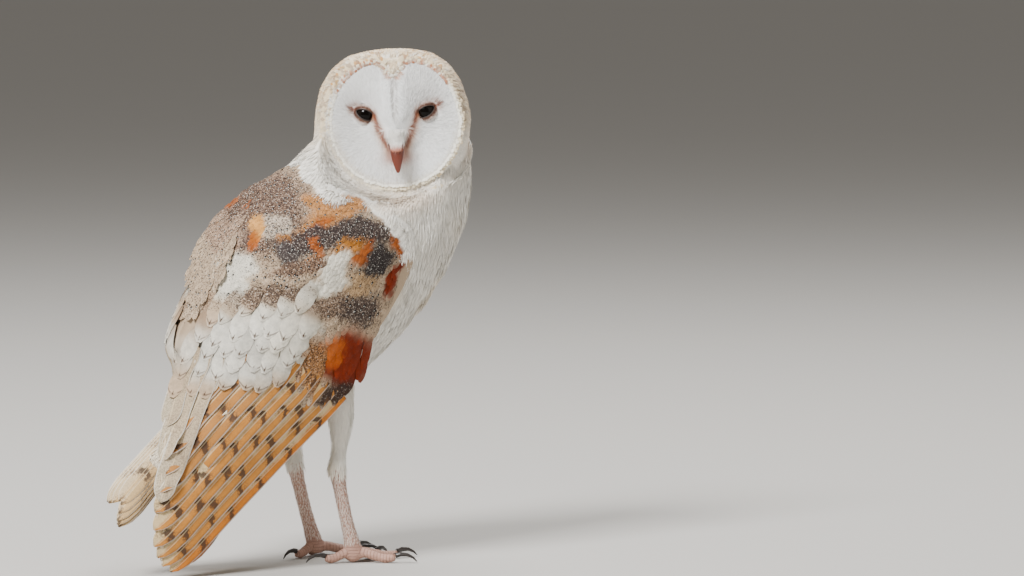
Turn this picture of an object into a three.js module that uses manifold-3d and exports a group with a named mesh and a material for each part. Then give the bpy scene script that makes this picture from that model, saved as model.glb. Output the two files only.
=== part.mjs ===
// A life-size barn owl standing on its own two feet, looking back over its right shoulder.
// Millimetres, +Z up. The origin is on the floor, under the middle of the bird's bounding box.
//
// Two working frames are used. The body frame has x forward, y to the bird's left and z up from
// the floor. The head frame sits in the middle of the facial disc, with the face looking along -y.

import * as THREE from 'three';
import { LoftGeometry } from 'three/addons/geometries/LoftGeometry.js';
import { mergeVertices } from 'three/addons/utils/BufferGeometryUtils.js';
import Module from 'manifold-3d';

// Driving dimensions

const GAP = 0.3; // clearance between two touching pieces
const BODY_HEADING = 38; // degrees from the outer frame's x axis to the bird's own forward axis
const BODY_SHIFT = 30; // where the plane of symmetry crosses the outer frame's x axis

const HEAD_CENTRE = [ 33, - 13.5, 291 ]; // behind the middle of the facial disc, in the body frame
const HEAD_ROLL = - 3; // degrees: the bird's left eye is the higher one
const HEAD_HALF_WIDTH = 53.2;
const HEAD_HALF_HEIGHT = 50.5;
const HEAD_BACK = 44;
const HEAD_FRONT = 44; // the front is then cut back to the face's own relief
const HEAD_OFFSET = - 2.5; // the plumage is fuller on the side that the head has turned away from
const HEAD_CORNERS = 0.1; // how far the crown bulges between its top and its sides

const DISC_RIM = - 22; // y of the facial disc's rim
const DISC_RADIUS = 42.5;
const DISC_NOTCH = 9; // depth of the notch between the two lobes of the heart
const DISH_DEPTH = 4;
const RIDGE_HEIGHT = 12; // of the feathered ridge between the eyes, over the rim
const RUFF_WIDTH = 5;
const FACE_BACK = - 4; // y of the back of the face's pieces
const RUFF_BACK = - 10;

const EYE_RADIUS = 7;
const EYE_SPREAD = 19.9; // from the middle of the face to each pupil
const EYE_HEIGHT = 7;
const EYE_DEPTH = - 14.5;

const TIBIA_RADIUS = 14;
const ANKLE_RADIUS = 6.5;
const TARSUS_RADIUS = 4.6;
const FOOT_RADIUS = 6;
const FOOT_BASE = [ - 10, 22, 5.5 ]; // where the toes meet, for the left foot
const TOE_RADIUS = 3.4;
const TOE_AXIS_HEIGHT = 3; // lower than the radius, so each toe stands on a small flat
const CLAW_RADIUS = 2.1;

// Colours and finishes

const LOOKS = {
	white: { color: 0xe9e6dd, roughness: 0.9, metalness: 0 },
	cream: { color: 0xddc9a2, roughness: 0.9, metalness: 0 },
	gold: { color: 0xc88a45, roughness: 0.85, metalness: 0 },
	grey: { color: 0x9a9088, roughness: 0.85, metalness: 0 },
	skin: { color: 0xc79a8b, roughness: 0.6, metalness: 0 },
	bill: { color: 0xd9a79a, roughness: 0.4, metalness: 0 },
	claw: { color: 0x1d1a19, roughness: 0.35, metalness: 0 },
	eye: { color: 0x0b0908, roughness: 0.08, metalness: 0 },
};

// Solid helpers

const wasm = await Module();
wasm.setup();

/** A curve through points that is read by the points' own numbering. */
function guide( points ) {

	const knots = points.map( ( p ) => new THREE.Vector3( ...p ) );
	return new THREE.CatmullRomCurve3( knots, false, 'centripetal' );

}

/** Six times the volume inside a list of triangles: negative when they face inward. */
function signedVolume( vertices, triangles ) {

	const corners = [ new THREE.Vector3(), new THREE.Vector3(), new THREE.Vector3() ];
	let sum = 0;
	for ( let i = 0; i < triangles.length; i += 3 ) {

		corners.forEach( ( corner, k ) => corner.fromArray( vertices, 3 * triangles[ i + k ] ) );
		sum += corners[ 0 ].dot( corners[ 1 ].cross( corners[ 2 ] ) );

	}

	return sum;

}

/** The solid inside a closed geometry, whichever way its faces were wound. */
function solid( geometry ) {

	const bare = new THREE.BufferGeometry();
	bare.setAttribute( 'position', geometry.attributes.position );
	bare.setIndex( geometry.index );
	const merged = mergeVertices( bare, 1e-3 );
	const vertices = new Float32Array( merged.attributes.position.array );
	const triangles = [];
	for ( let i = 0; i < merged.index.count; i += 3 ) {

		const [ a, b, c ] = merged.index.array.slice( i, i + 3 );
		if ( a !== b && b !== c && c !== a ) triangles.push( a, b, c );

	}

	if ( signedVolume( vertices, triangles ) < 0 ) triangles.reverse();
	return new wasm.Manifold( new wasm.Mesh( {
		numProp: 3, vertProperties: vertices, triVerts: new Uint32Array( triangles ),
	} ) );

}

/** The biggest body of a solid that a cut may have left in several. */
function largest( shape ) {

	return shape.decompose().reduce( ( best, next ) => ( next.volume() > best.volume() ? next : best ) );

}

/** A named mesh of a solid. */
function part( name, shape, look ) {

	const mesh = largest( shape ).getMesh();
	const geometry = new THREE.BufferGeometry();
	geometry.setAttribute( 'position', new THREE.BufferAttribute( mesh.vertProperties, 3 ) );
	geometry.setIndex( new THREE.BufferAttribute( mesh.triVerts, 1 ) );
	geometry.computeVertexNormals();
	const named = new THREE.Mesh( geometry, new THREE.MeshStandardMaterial( LOOKS[ look ] ) );
	named.name = name;
	return named;

}

/** A unit ring at an angle: a circle for power 2, squarer above that. */
function rounded( value, power ) {

	return Math.sign( value ) * Math.abs( value ) ** ( 2 / power );

}

/** A closed tube through rings, each with its own centre, two half axes and squareness. */
function loft( rings, sides ) {

	const ahead = new THREE.Vector3().subVectors( rings[ 1 ].centre, rings[ 0 ].centre );
	const turn = Math.sign( new THREE.Vector3().crossVectors( rings[ 0 ].side, rings[ 0 ].up ).dot( ahead ) );
	const sections = rings.map( ( ring ) => {

		const points = [];
		for ( let j = 0; j < sides; j ++ ) {

			const angle = 2 * Math.PI * turn * j / sides;
			const point = new THREE.Vector3().copy( ring.centre );
			point.addScaledVector( ring.side, rounded( Math.cos( angle ), ring.power ) );
			point.addScaledVector( ring.up, rounded( Math.sin( angle ), ring.power ) );
			points.push( point );

		}

		return points;

	} );
	return solid( new LoftGeometry( sections, { capStart: true, capEnd: true } ) );

}

/** A tube along a path: radiusAt(0 to 1) gives its radius, and sideways the way its width runs. */
function taperedTube( path, radiusAt, sideways, rings, sides ) {

	const list = [];
	for ( let i = 0; i <= rings; i ++ ) {

		const along = i / rings;
		const tangent = path.getTangent( along );
		const side = sideways.clone().addScaledVector( tangent, - sideways.dot( tangent ) ).normalize();
		const up = tangent.clone().cross( side );
		const radius = radiusAt( along );
		list.push( {
			centre: path.getPoint( along ), power: 2,
			side: side.multiplyScalar( radius ), up: up.multiplyScalar( radius ),
		} );

	}

	return loft( list, sides );

}

/**
 * A curved sheet. Its two faces lie at the depths top and bottom under a surface, both functions of
 * its two parameters, and inward says roughly which way down is.
 */
function sheet( surface, top, bottom, alongSteps, acrossSteps, inward ) {

	const box = new THREE.BoxGeometry( 1, 1, 1, alongSteps, acrossSteps, 1 );
	const position = box.attributes.position;
	const step = 0.01;
	for ( let i = 0; i < position.count; i ++ ) {

		const u = position.getX( i ) + 0.5;
		const v = position.getY( i ) + 0.5;
		const depth = position.getZ( i ) < 0 ? bottom( u, v ) : top( u, v );
		const alongU = surface( Math.min( u + step, 1 ), v ).sub( surface( Math.max( u - step, 0 ), v ) );
		const alongV = surface( u, Math.min( v + step, 1 ) ).sub( surface( u, Math.max( v - step, 0 ) ) );
		const normal = alongU.cross( alongV ).normalize();
		if ( normal.dot( inward ) < 0 ) normal.negate();
		const point = surface( u, v ).addScaledVector( normal, depth );
		position.setXYZ( i, point.x, point.y, point.z );

	}

	return solid( box );

}

// Trunk and neck: rings from the head down to the tail coverts, each told by its point on the
// bird's back, its point on the breast or belly, its half width, and how far it leans to the left

const TRUNK_RINGS = [
	{ back: [ 0, 299 ], front: [ 82, 292 ], half: 34, lean: - 11 },
	{ back: [ - 27, 281 ], front: [ 93, 264 ], half: 40, lean: - 9 },
	{ back: [ - 50, 261 ], front: [ 93, 237 ], half: 46, lean: - 6 },
	{ back: [ - 80, 242 ], front: [ 86, 212 ], half: 55, lean: - 2 },
	{ back: [ - 101, 219 ], front: [ 75, 190 ], half: 56, lean: 0 },
	{ back: [ - 106, 186 ], front: [ 60, 169 ], half: 51, lean: 0 },
	{ back: [ - 113, 159 ], front: [ 40, 150 ], half: 47, lean: 0 },
	{ back: [ - 120, 138 ], front: [ 14, 129 ], half: 41, lean: 0 },
	{ back: [ - 126, 122 ], front: [ - 20, 106 ], half: 33, lean: 0 },
	{ back: [ - 132, 108 ], front: [ - 58, 88 ], half: 24, lean: 0 },
	{ back: [ - 139, 97 ], front: [ - 92, 72 ], half: 16, lean: 0 },
	{ back: [ - 149, 87 ], front: [ - 121, 63 ], half: 12, lean: 0 },
	{ back: [ - 160, 77 ], front: [ - 148, 61 ], half: 7, lean: 0 },
];
const TRUNK_SQUARENESS = 2.25;
const TRUNK_STEPS = 15;
const TRUNK_SIDES = 16;
const COLLAR_NORMAL = [ - 0.34, 0, 0.94 ]; // the plane between neck and trunk
const COLLAR_OFFSET = 209;
const RUMP_NORMAL = [ 0.8, 0, 0.6 ]; // the plane between trunk and tail coverts
const RUMP_OFFSET = - 38;

/** The whole plumage from head to tail coverts, with spare added all round. */
function torso( spare ) {

	const back = guide( TRUNK_RINGS.map( ( ring ) => [ ring.back[ 0 ], 0, ring.back[ 1 ] ] ) );
	const front = guide( TRUNK_RINGS.map( ( ring ) => [ ring.front[ 0 ], 0, ring.front[ 1 ] ] ) );
	const width = guide( TRUNK_RINGS.map( ( ring, i ) => [ ring.half, ring.lean, 20 * i ] ) );
	const rings = [];
	for ( let i = 0; i <= TRUNK_STEPS; i ++ ) {

		const t = i / TRUNK_STEPS;
		const up = back.getPoint( t ).sub( front.getPoint( t ) ).multiplyScalar( 0.5 );
		const { x: half, y: lean } = width.getPoint( t );
		rings.push( {
			centre: front.getPoint( t ).add( up ).setY( lean ), power: TRUNK_SQUARENESS,
			side: new THREE.Vector3( 0, half + spare, 0 ),
			up: up.setLength( up.length() + spare ),
		} );

	}

	return loft( rings, TRUNK_SIDES );

}

// Wings: three guides run from the shoulder to the tip. The leading edge borders the breast, the
// ridge edge lies along the middle of the back, and the section between them is a curve bent
// over towards the middle guide.

const WING_GUIDES = {
	leading: [
		[ 0, 41, 234 ], [ 10, 51, 213 ], [ 6, 53, 192 ], [ - 2, 53, 175 ], [ - 14, 52, 153 ],
		[ - 29, 46, 114 ], [ - 61, 38, 82 ], [ - 102, 32, 39 ], [ - 143, 26, 8 ], [ - 156, 24, 2.5 ],
	],
	middle: [
		[ - 62, 61, 248 ], [ - 82, 80, 226 ], [ - 92, 84, 200 ], [ - 98, 79, 176 ], [ - 106, 71, 150 ],
		[ - 116, 56, 116 ], [ - 128, 44, 88 ], [ - 142, 32, 48 ], [ - 157, 25, 17 ], [ - 161, 24, 6 ],
	],
	ridge: [
		[ - 84, 0, 244 ], [ - 102, 0, 223 ], [ - 113, 0, 199 ], [ - 121, 0, 177 ], [ - 131, 0, 148 ],
		[ - 142, 0, 116 ], [ - 156, 12, 96 ], [ - 165, 20, 62 ], [ - 168, 22, 32 ], [ - 165, 23, 12 ],
	],
};
const PART_LINE = [ - 8, - 9, - 8, - 4, 0, 0, 0, 0, 0, 0 ]; // y of the line between the two wings
const PART_GAP = 0.4; // from that line to each wing
const TUCK_TOP = 150; // the left wing hangs a little further forward and inward below this height
const TUCK_BOTTOM = 25;
const TUCK = { right: { forward: 0, inward: 0 }, left: { forward: 30, inward: 9 } };
const PUFF = { right: 0, left: 5 }; // how much fuller the wing bulges half way down
const PUFF_HEIGHT = 152;
const PUFF_REACH = 26;
const WRIST = 0.46; // along the wing, where the coverts give way to the flight feathers
const INNER_FEATHERS = 0.66; // across the wing, where the secondaries begin
const WING_SINK = { right: 1.5, left: 4.5 }; // how far the flight feathers lie under the coverts
const WING_SLIT = 0.006; // between two patches, as a share of the wing's length or width
const SHOULDER_THICKNESS = 3;
const ARM_THICKNESS = 9;
const VANE_THICKNESS = 1.2;
const THINNEST = 0.9;
const ROOM_ABOVE = 6; // how much of the body is cleared away over a wing

/** A smooth bump: 1 at 0, and all but gone at twice the width. */
const BUMP = ( x, width ) => Math.exp( - ( ( x / width ) ** 2 ) );

/** Smooth step from 0 at a to 1 at b. */
function ramp( a, b, x ) {

	const t = THREE.MathUtils.clamp( ( x - a ) / ( b - a ), 0, 1 );
	return t * t * ( 3 - 2 * t );

}

/** The outer face of one wing, for side 1 on the left and -1 on the right. */
function wingSurface( side, tuck, puff ) {

	const place = ( fullness ) => ( [ x, y, z ] ) => {

		const weight = ramp( TUCK_TOP, TUCK_BOTTOM, z );
		const bulge = fullness * puff * BUMP( z - PUFF_HEIGHT, PUFF_REACH );
		const spread = y - weight * Math.min( y, tuck.inward ) + bulge;
		return [ x + weight * tuck.forward - bulge, side * spread, z ];

	};

	const leading = guide( WING_GUIDES.leading.map( place( 0 ) ) );
	const middle = guide( WING_GUIDES.middle.map( place( 1 ) ) );
	const ridge = guide( WING_GUIDES.ridge.map( ( point, i ) => {

		const [ x, y, z ] = place( 1 )( point );
		return [ x, Math.min( y, 30 ) + PART_LINE[ i ] + side * PART_GAP, z ];

	} ) );
	return ( u, v ) => {

		const point = leading.getPoint( u ).multiplyScalar( ( 1 - v ) ** 2 );
		point.addScaledVector( middle.getPoint( u ), 2 * v * ( 1 - v ) );
		return point.addScaledVector( ridge.getPoint( u ), v * v );

	};

}

function wingThickness( u, v ) {

	const arm = THREE.MathUtils.lerp( SHOULDER_THICKNESS, ARM_THICKNESS, ramp( 0, 0.14, u ) );
	const along = THREE.MathUtils.lerp( arm, VANE_THICKNESS, ramp( 0.15, 0.85, u ) );
	const inside = THREE.MathUtils.clamp( Math.min( v, 1 - v ), 0, 0.24 );
	const edge = THREE.MathUtils.lerp( 0.35, 1, Math.sqrt( inside / 0.24 ) );
	return Math.max( THINNEST, along * edge );

}

/**
 * One patch of a wing, between two stations along it and two across it. It lies sink deep under
 * the outer face. With spare it is the room that the patch needs inside the body instead.
 */
function wingPatch( surface, inward, patch, sink, spare ) {

	const margin = spare > 0 ? 0.01 : 0;
	const u = ( s ) => THREE.MathUtils.lerp( ...patch.along, s );
	const v = ( s ) => THREE.MathUtils.lerp( patch.across[ 0 ] - margin, patch.across[ 1 ] + margin, s );
	const face = ( a, b ) => surface( u( a ), v( b ) );
	const top = () => ( spare > 0 ? - ROOM_ABOVE : sink );
	const bottom = ( a, b ) => Math.max( sink + THINNEST, wingThickness( u( a ), v( b ) ) ) + spare;
	return sheet( face, top, bottom, ...patch.steps, inward );

}

const WING_PATCHES = {
	coverts: { along: [ 0, WRIST ], across: [ 0, 1 ], sunk: 0, steps: [ 9, 8 ], look: 'grey' },
	primaries: {
		along: [ WRIST + WING_SLIT, 1 ], across: [ 0, INNER_FEATHERS ], sunk: 1, steps: [ 9, 5 ], look: 'gold',
	},
	secondaries: {
		along: [ WRIST + WING_SLIT, 1 ], across: [ INNER_FEATHERS + WING_SLIT, 1 ], sunk: 1, steps: [ 9, 3 ],
		look: 'cream',
	},
};

/** Both the pieces of a wing and the room that they take out of the trunk. */
function wing( side, label ) {

	const surface = wingSurface( side, TUCK[ label ], PUFF[ label ] );
	const inward = new THREE.Vector3( 0.35, - side, 0 ).normalize();
	return Object.entries( WING_PATCHES ).map( ( [ name, patch ] ) => {

		const sink = patch.sunk * WING_SINK[ label ];
		const room = wingPatch( surface, inward, patch, sink, 2 * GAP );
		return {
			name: `wing_${ label }_${ name }`, look: patch.look,
			shape: wingPatch( surface, inward, patch, sink, 0 ),
			room: room.add( room.translate( [ 0, 0, 2 * GAP ] ) ),
		};

	} );

}

// Tail: a closed fan, slightly arched and rolled, with its left edge up and a shallow notch

const TAIL_ROOT = [ - 112, 0, 112 ];
const TAIL_TIP = [ - 187, 0, 44 ];
const TAIL_ROLL = 45; // degrees
const TAIL_HALF_ROOT = 9;
const TAIL_HALF_TIP = 14;
const TAIL_SKEW = 0.07; // how much longer its right side is, as a share of its length
const TAIL_ARCH = 5; // how far its edges bend under its middle
const TAIL_NOTCH = 0.09; // as a share of its length
const TAIL_ROUND = 0.07; // how far its corners are rounded back, as a share of its length
const TAIL_THICKNESS = 3;

function tail() {

	const root = new THREE.Vector3( ...TAIL_ROOT );
	const tip = new THREE.Vector3( ...TAIL_TIP );
	const axis = tip.clone().sub( root ).normalize();
	const roll = THREE.MathUtils.degToRad( - TAIL_ROLL );
	const sideways = new THREE.Vector3( 0, 1, 0 ).applyAxisAngle( axis, roll );
	const upward = sideways.clone().cross( axis ).normalize();
	const surface = ( u, v ) => {

		const across = 2 * v - 1;
		const reach = 1 - TAIL_SKEW * across - TAIL_ROUND * across ** 6 - TAIL_NOTCH * BUMP( across, 0.3 );
		const along = u * reach;
		const half = THREE.MathUtils.lerp( TAIL_HALF_ROOT, TAIL_HALF_TIP, along );
		const point = new THREE.Vector3().lerpVectors( root, tip, along );
		point.addScaledVector( sideways, half * Math.sin( across * Math.PI / 2 ) );
		return point.addScaledVector( upward, - TAIL_ARCH * along * across * across );

	};

	const bottom = ( u ) => THREE.MathUtils.lerp( TAIL_THICKNESS, VANE_THICKNESS, u );
	return sheet( surface, () => 0, bottom, 6, 10, upward.clone().negate() );

}

// Head: a rounded skull of feathers whose front is cut back to the relief of the face

const HEAD_SIDES = 24;
const HEAD_RINGS = 14; // half of them on the face
const RIM_ANGLE = Math.PI / 3; // from the middle of the face to the ring of vertices on its rim
const THROAT = [ { y: - 18, middle: 0, half: 46, high: 46 }, { y: - 100, middle: 6, half: 74, high: 72 } ];

/** How far forward the middle of the face stands at a height, and how wide that ridge is. */
function ridgeAt( z ) {

	return {
		height: RIDGE_HEIGHT * ramp( 40, 4, z ) * ramp( - 42, - 14, z ),
		width: THREE.MathUtils.lerp( 6, 13, ramp( 34, 8, z ) ) - 5 * ramp( 4, - 20, z ),
	};

}

/** The y of the face's surface over a point of the disc. */
function faceRelief( x, z ) {

	const ridge = ridgeAt( z );
	const dish = DISH_DEPTH * BUMP( Math.abs( x ) - 25, 15 ) * BUMP( z - 2, 30 );
	return DISC_RIM + dish - ridge.height * BUMP( x, ridge.width );

}

function headSolid( spare ) {

	const geometry = new THREE.SphereGeometry( 1, HEAD_SIDES, HEAD_RINGS );
	const position = geometry.attributes.position;
	for ( let i = 0; i < position.count; i ++ ) {

		const around = Math.atan2( position.getZ( i ), position.getX( i ) );
		const share = Math.acos( THREE.MathUtils.clamp( - position.getY( i ), - 1, 1 ) ) / Math.PI;
		const behind = RIM_ANGLE + ( 2 * share - 1 ) * ( Math.PI - RIM_ANGLE );
		const polar = share < 0.5 ? 2 * share * RIM_ANGLE : behind;
		const full = 1 + HEAD_CORNERS * Math.max( 0, Math.sin( around ) ) * Math.sin( 2 * around ) ** 2;
		const reach = Math.sin( polar ) * full;
		const x = reach * Math.cos( around ) * ( HEAD_HALF_WIDTH + spare ) + HEAD_OFFSET;
		const z = reach * Math.sin( around ) * ( HEAD_HALF_HEIGHT + spare );
		const depth = ( Math.cos( polar ) < 0 ? HEAD_BACK : HEAD_FRONT ) + spare;
		position.setXYZ( i, x, Math.max( - depth * Math.cos( polar ), faceRelief( x, z ) - spare ), z );

	}

	return solid( geometry );

}

/** The room in front of the face and over the shoulder, which widens towards the front. */
function throatRoom() {

	return loft( THROAT.map( ( { y, middle, half, high } ) => ( {
		centre: new THREE.Vector3( 0, y, middle ), power: 2,
		side: new THREE.Vector3( half, 0, 0 ), up: new THREE.Vector3( 0, 0, high ),
	} ) ), 18 );

}

/** A heart-shaped cutter as wide as the facial disc plus grow, from in front back to y = back. */
function discCutter( grow, back ) {

	const points = [];
	for ( let degrees = 0; degrees < 360; degrees += 12 ) {

		const angle = THREE.MathUtils.degToRad( degrees );
		const corners = 0.06 * Math.max( 0, Math.sin( angle ) ) * Math.abs( Math.sin( 2 * angle ) );
		const notch = DISC_NOTCH * BUMP( degrees - 90, 11 );
		const radius = DISC_RADIUS * ( 1 + corners ) - notch + grow;
		points.push( new THREE.Vector2( radius * Math.cos( angle ), radius * Math.sin( angle ) ) );

	}

	return prism( points, back );

}

/** A straight cutter of an outline in x and z, from well in front of the face back to y = back. */
function prism( outline, back ) {

	const front = - 70;
	const settings = { depth: back - front, bevelEnabled: false };
	const geometry = new THREE.ExtrudeGeometry( new THREE.Shape( outline ), settings );
	geometry.rotateX( Math.PI / 2 );
	geometry.translate( 0, back, 0 );
	return solid( indexed( geometry ) );

}

/** A geometry without an index, given one. */
function indexed( geometry ) {

	geometry.setIndex( [ ...Array( geometry.attributes.position.count ).keys() ] );
	return geometry;

}

const RIDGE_OUTLINE = [ [ 2.4, 33 ], [ 4, 20 ], [ 10, 8 ], [ 10, 0 ], [ 6, - 14 ], [ 4.5, - 20 ] ];
const RIDGE_BACK = - 16;

function ridgeCutter( grow ) {

	const right = RIDGE_OUTLINE.map( ( [ x, z ] ) => new THREE.Vector2( x + grow, z ) );
	right[ 0 ].y += grow;
	right.at( - 1 ).y -= grow;
	const left = right.map( ( p ) => new THREE.Vector2( - p.x, p.y ) ).reverse();
	return prism( [ ...right, ...left ], RIDGE_BACK + grow );

}

const UPPER_BILL = [
	[ 0, - 17, - 6 ], [ 0, - 28, - 12 ], [ 0, - 32.6, - 19 ], [ 0, - 33.6, - 26 ], [ 0, - 31.8, - 32 ],
];
const LOWER_BILL = [ [ 0, - 18, - 17 ], [ 0, - 25, - 22 ], [ 0, - 29, - 29 ] ];
const ACROSS_FACE = new THREE.Vector3( 1, 0, 0 );

function bill( points, thick, thin, spare ) {

	const radiusAt = ( along ) => THREE.MathUtils.lerp( thick, thin, along ** 1.4 ) + spare;
	return taperedTube( guide( points ), radiusAt, ACROSS_FACE, 5, 8 );

}

const upperBill = ( spare ) => bill( UPPER_BILL, 5.6, 0.9, spare );
const lowerBill = ( spare ) => bill( LOWER_BILL, 3.6, 0.8, spare );

function eye( side, spare ) {

	const ball = new THREE.SphereGeometry( EYE_RADIUS + spare, 10, 7 );
	ball.translate( side * EYE_SPREAD, EYE_DEPTH, EYE_HEIGHT );
	return solid( ball );

}

/** The named pieces of the head, in the head's own frame. */
function headParts() {

	const whole = headSolid( 0 );
	const bills = upperBill( GAP ).add( lowerBill( GAP ) );
	const eyes = eye( 1, GAP ).add( eye( - 1, GAP ) );
	const face = whole.intersect( discCutter( 0, FACE_BACK ) ).subtract( ridgeCutter( GAP ) )
		.subtract( bills ).subtract( eyes );
	const ruff = whole.intersect( discCutter( RUFF_WIDTH, RUFF_BACK ) )
		.subtract( discCutter( GAP, FACE_BACK ) );
	const skull = whole.subtract( discCutter( RUFF_WIDTH + GAP, RUFF_BACK + GAP ) )
		.subtract( discCutter( GAP, FACE_BACK + GAP ) );
	return [
		part( 'head', skull, 'cream' ),
		part( 'ruff', ruff, 'cream' ),
		part( 'face_left', face.trimByPlane( [ 1, 0, 0 ], GAP / 2 ), 'white' ),
		part( 'face_right', face.trimByPlane( [ - 1, 0, 0 ], GAP / 2 ), 'white' ),
		part( 'face_ridge', whole.intersect( ridgeCutter( 0 ) ).subtract( bills ), 'white' ),
		part( 'bill_upper', upperBill( 0 ), 'bill' ),
		part( 'bill_lower', lowerBill( 0 ).subtract( upperBill( GAP ) ), 'bill' ),
		part( 'eye_left', eye( 1, 0 ), 'eye' ),
		part( 'eye_right', eye( - 1, 0 ), 'eye' ),
	];

}

// Legs: feathered to the ankle, then a thin tarsus and four toes with a claw each. The points are
// those of the left leg.

const LEG = [ [ - 34, 22, 140 ], [ - 26, 27, 114 ], [ - 23, 26, 88 ], [ - 25, 24, 64 ] ];
const TOES = [
	{ name: 'inner', heading: - 24, length: 32, claw: 16 },
	{ name: 'middle', heading: 2, length: 36, claw: 17 },
	{ name: 'outer', heading: 46, length: 29, claw: 15 },
	{ name: 'hind', heading: 196, length: 20, claw: 14 },
];
const ACROSS_BODY = new THREE.Vector3( 0, 1, 0 );

function thigh( spare ) {

	const radiusAt = ( along ) =>
		THREE.MathUtils.lerp( TIBIA_RADIUS, ANKLE_RADIUS, ramp( 0.25, 1, along ) ) + spare;
	return taperedTube( guide( LEG ), radiusAt, ACROSS_BODY, 7, 10 );

}

function tarsus( spare ) {

	const path = guide( [ LEG.at( - 1 ), [ - 18, 23, 36 ], [ FOOT_BASE[ 0 ], FOOT_BASE[ 1 ], 10 ] ] );
	const radiusAt = ( along ) => TARSUS_RADIUS + 1.4 * Math.abs( 2 * along - 1 ) ** 3 + spare;
	const ball = new THREE.SphereGeometry( FOOT_RADIUS + spare, 8, 6 );
	ball.translate( ...FOOT_BASE );
	return taperedTube( path, radiusAt, ACROSS_BODY, 5, 8 ).add( solid( ball ) );

}

/** A point beside the foot's base: so far out along a toe, at a height. */
function alongToe( toe, reach, height ) {

	const heading = THREE.MathUtils.degToRad( toe.heading );
	const [ x, y ] = FOOT_BASE;
	return [ x + reach * Math.cos( heading ), y + reach * Math.sin( heading ), height ];

}

function acrossToe( toe ) {

	const heading = THREE.MathUtils.degToRad( toe.heading );
	return new THREE.Vector3( - Math.sin( heading ), Math.cos( heading ), 0 );

}

function toeSolid( toe, spare ) {

	const stations = [ [ 2, 6 ], [ 0.35 * toe.length, 6.4 ], [ 0.65 * toe.length, TOE_AXIS_HEIGHT ] ];
	stations.push( [ 0.85 * toe.length, TOE_AXIS_HEIGHT ], [ toe.length, TOE_AXIS_HEIGHT + 0.6 ] );
	const path = guide( stations.map( ( [ reach, height ] ) => alongToe( toe, reach, height ) ) );
	const radiusAt = ( along ) => TOE_RADIUS - 0.9 * along ** 6 - 0.3 * along + 0.3 + spare;
	return taperedTube( path, radiusAt, acrossToe( toe ), 5, 6 );

}

function clawSolid( toe, spare ) {

	const { claw: long } = toe;
	const stations = [ [ - 2, 4.6 ], [ 0.3 * long, 6.2 ], [ 0.7 * long, 4.6 ], [ 0.95 * long, 1.1 ] ];
	const path = guide( stations.map( ( [ reach, height ] ) => alongToe( toe, toe.length + reach, height ) ) );
	const radiusAt = ( along ) => THREE.MathUtils.lerp( CLAW_RADIUS, 0.45, along ** 1.3 ) + spare;
	return taperedTube( path, radiusAt, acrossToe( toe ), 4, 5 );

}

/** The named pieces of one leg. Below the floor line everything is cut to a flat sole. */
function legParts( side, label, clearOfBody ) {

	const mirror = ( shape ) => ( side > 0 ? shape : shape.mirror( [ 0, 1, 0 ] ) );
	const sole = ( shape ) => mirror( shape.trimByPlane( [ 0, 0, 1 ], 0 ) );
	const upper = thigh( 0 );
	const lower = tarsus( 0 ).subtract( thigh( GAP ) );
	const pieces = [
		part( `thigh_${ label }`, clearOfBody( mirror( upper ) ), 'white' ),
		part( `tarsus_${ label }`, sole( lower ), 'skin' ),
	];
	let taken = tarsus( GAP );
	for ( const toe of TOES ) {

		const flesh = toeSolid( toe, 0 ).subtract( taken );
		taken = taken.add( toeSolid( toe, GAP ) );
		const claw = clawSolid( toe, 0 ).subtract( toeSolid( toe, GAP ) );
		pieces.push( part( `toe_${ label }_${ toe.name }`, sole( flesh ), 'skin' ) );
		pieces.push( part( `claw_${ label }_${ toe.name }`, sole( claw ), 'claw' ) );

	}

	return pieces;

}

// Assembly

const headGroup = new THREE.Group();
headGroup.position.set( ...HEAD_CENTRE );
const [ roll, heading ] = [ HEAD_ROLL, - BODY_HEADING ].map( THREE.MathUtils.degToRad );
headGroup.rotation.set( 0, roll, heading, 'ZYX' );
headGroup.updateMatrix();
headGroup.add( ...headParts() );

const bodyGroup = new THREE.Group();
bodyGroup.position.x = BODY_SHIFT;
bodyGroup.rotation.z = THREE.MathUtils.degToRad( BODY_HEADING );
bodyGroup.add( headGroup );

const clearOf = ( shape, pieces ) => pieces.reduce( ( rest, piece ) => rest.subtract( piece.room ), shape );
const rightWing = wing( - 1, 'right' );
const leftWing = wing( 1, 'left' );
const wings = [ ...rightWing, ...leftWing ];
bodyGroup.add(
	...rightWing.map( ( piece ) => part( piece.name, piece.shape, piece.look ) ),
	...leftWing.map( ( piece ) => part( piece.name, clearOf( piece.shape, rightWing ), piece.look ) ),
);

const bodyRoom = torso( GAP );
const clearOfBody = ( shape ) => clearOf( shape.subtract( bodyRoom ), wings );
const headRoom = headSolid( GAP ).add( throatRoom() ).transform( headGroup.matrix.elements );
const plumage = clearOf( torso( 0 ), wings );
const overCollar = plumage.trimByPlane( COLLAR_NORMAL, COLLAR_OFFSET + GAP );
const underCollar = plumage.trimByPlane( COLLAR_NORMAL.map( ( n ) => - n ), - COLLAR_OFFSET );
bodyGroup.add(
	part( 'neck', overCollar.subtract( headRoom ), 'white' ),
	part( 'trunk', underCollar.subtract( headRoom ).trimByPlane( RUMP_NORMAL, RUMP_OFFSET + GAP ), 'white' ),
	part( 'tail_coverts', underCollar.trimByPlane( RUMP_NORMAL.map( ( n ) => - n ), - RUMP_OFFSET ), 'cream' ),
	part( 'tail', clearOfBody( tail() ), 'cream' ),
);
bodyGroup.add( ...legParts( 1, 'left', clearOfBody ), ...legParts( - 1, 'right', clearOfBody ) );

const owl = new THREE.Group();
owl.add( bodyGroup );
owl.updateMatrixWorld( true );
const bounds = new THREE.Box3().setFromObject( owl, true );
const middle = bounds.getCenter( new THREE.Vector3() );
owl.position.set( - middle.x, - middle.y, - bounds.min.z );

export default owl;
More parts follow.
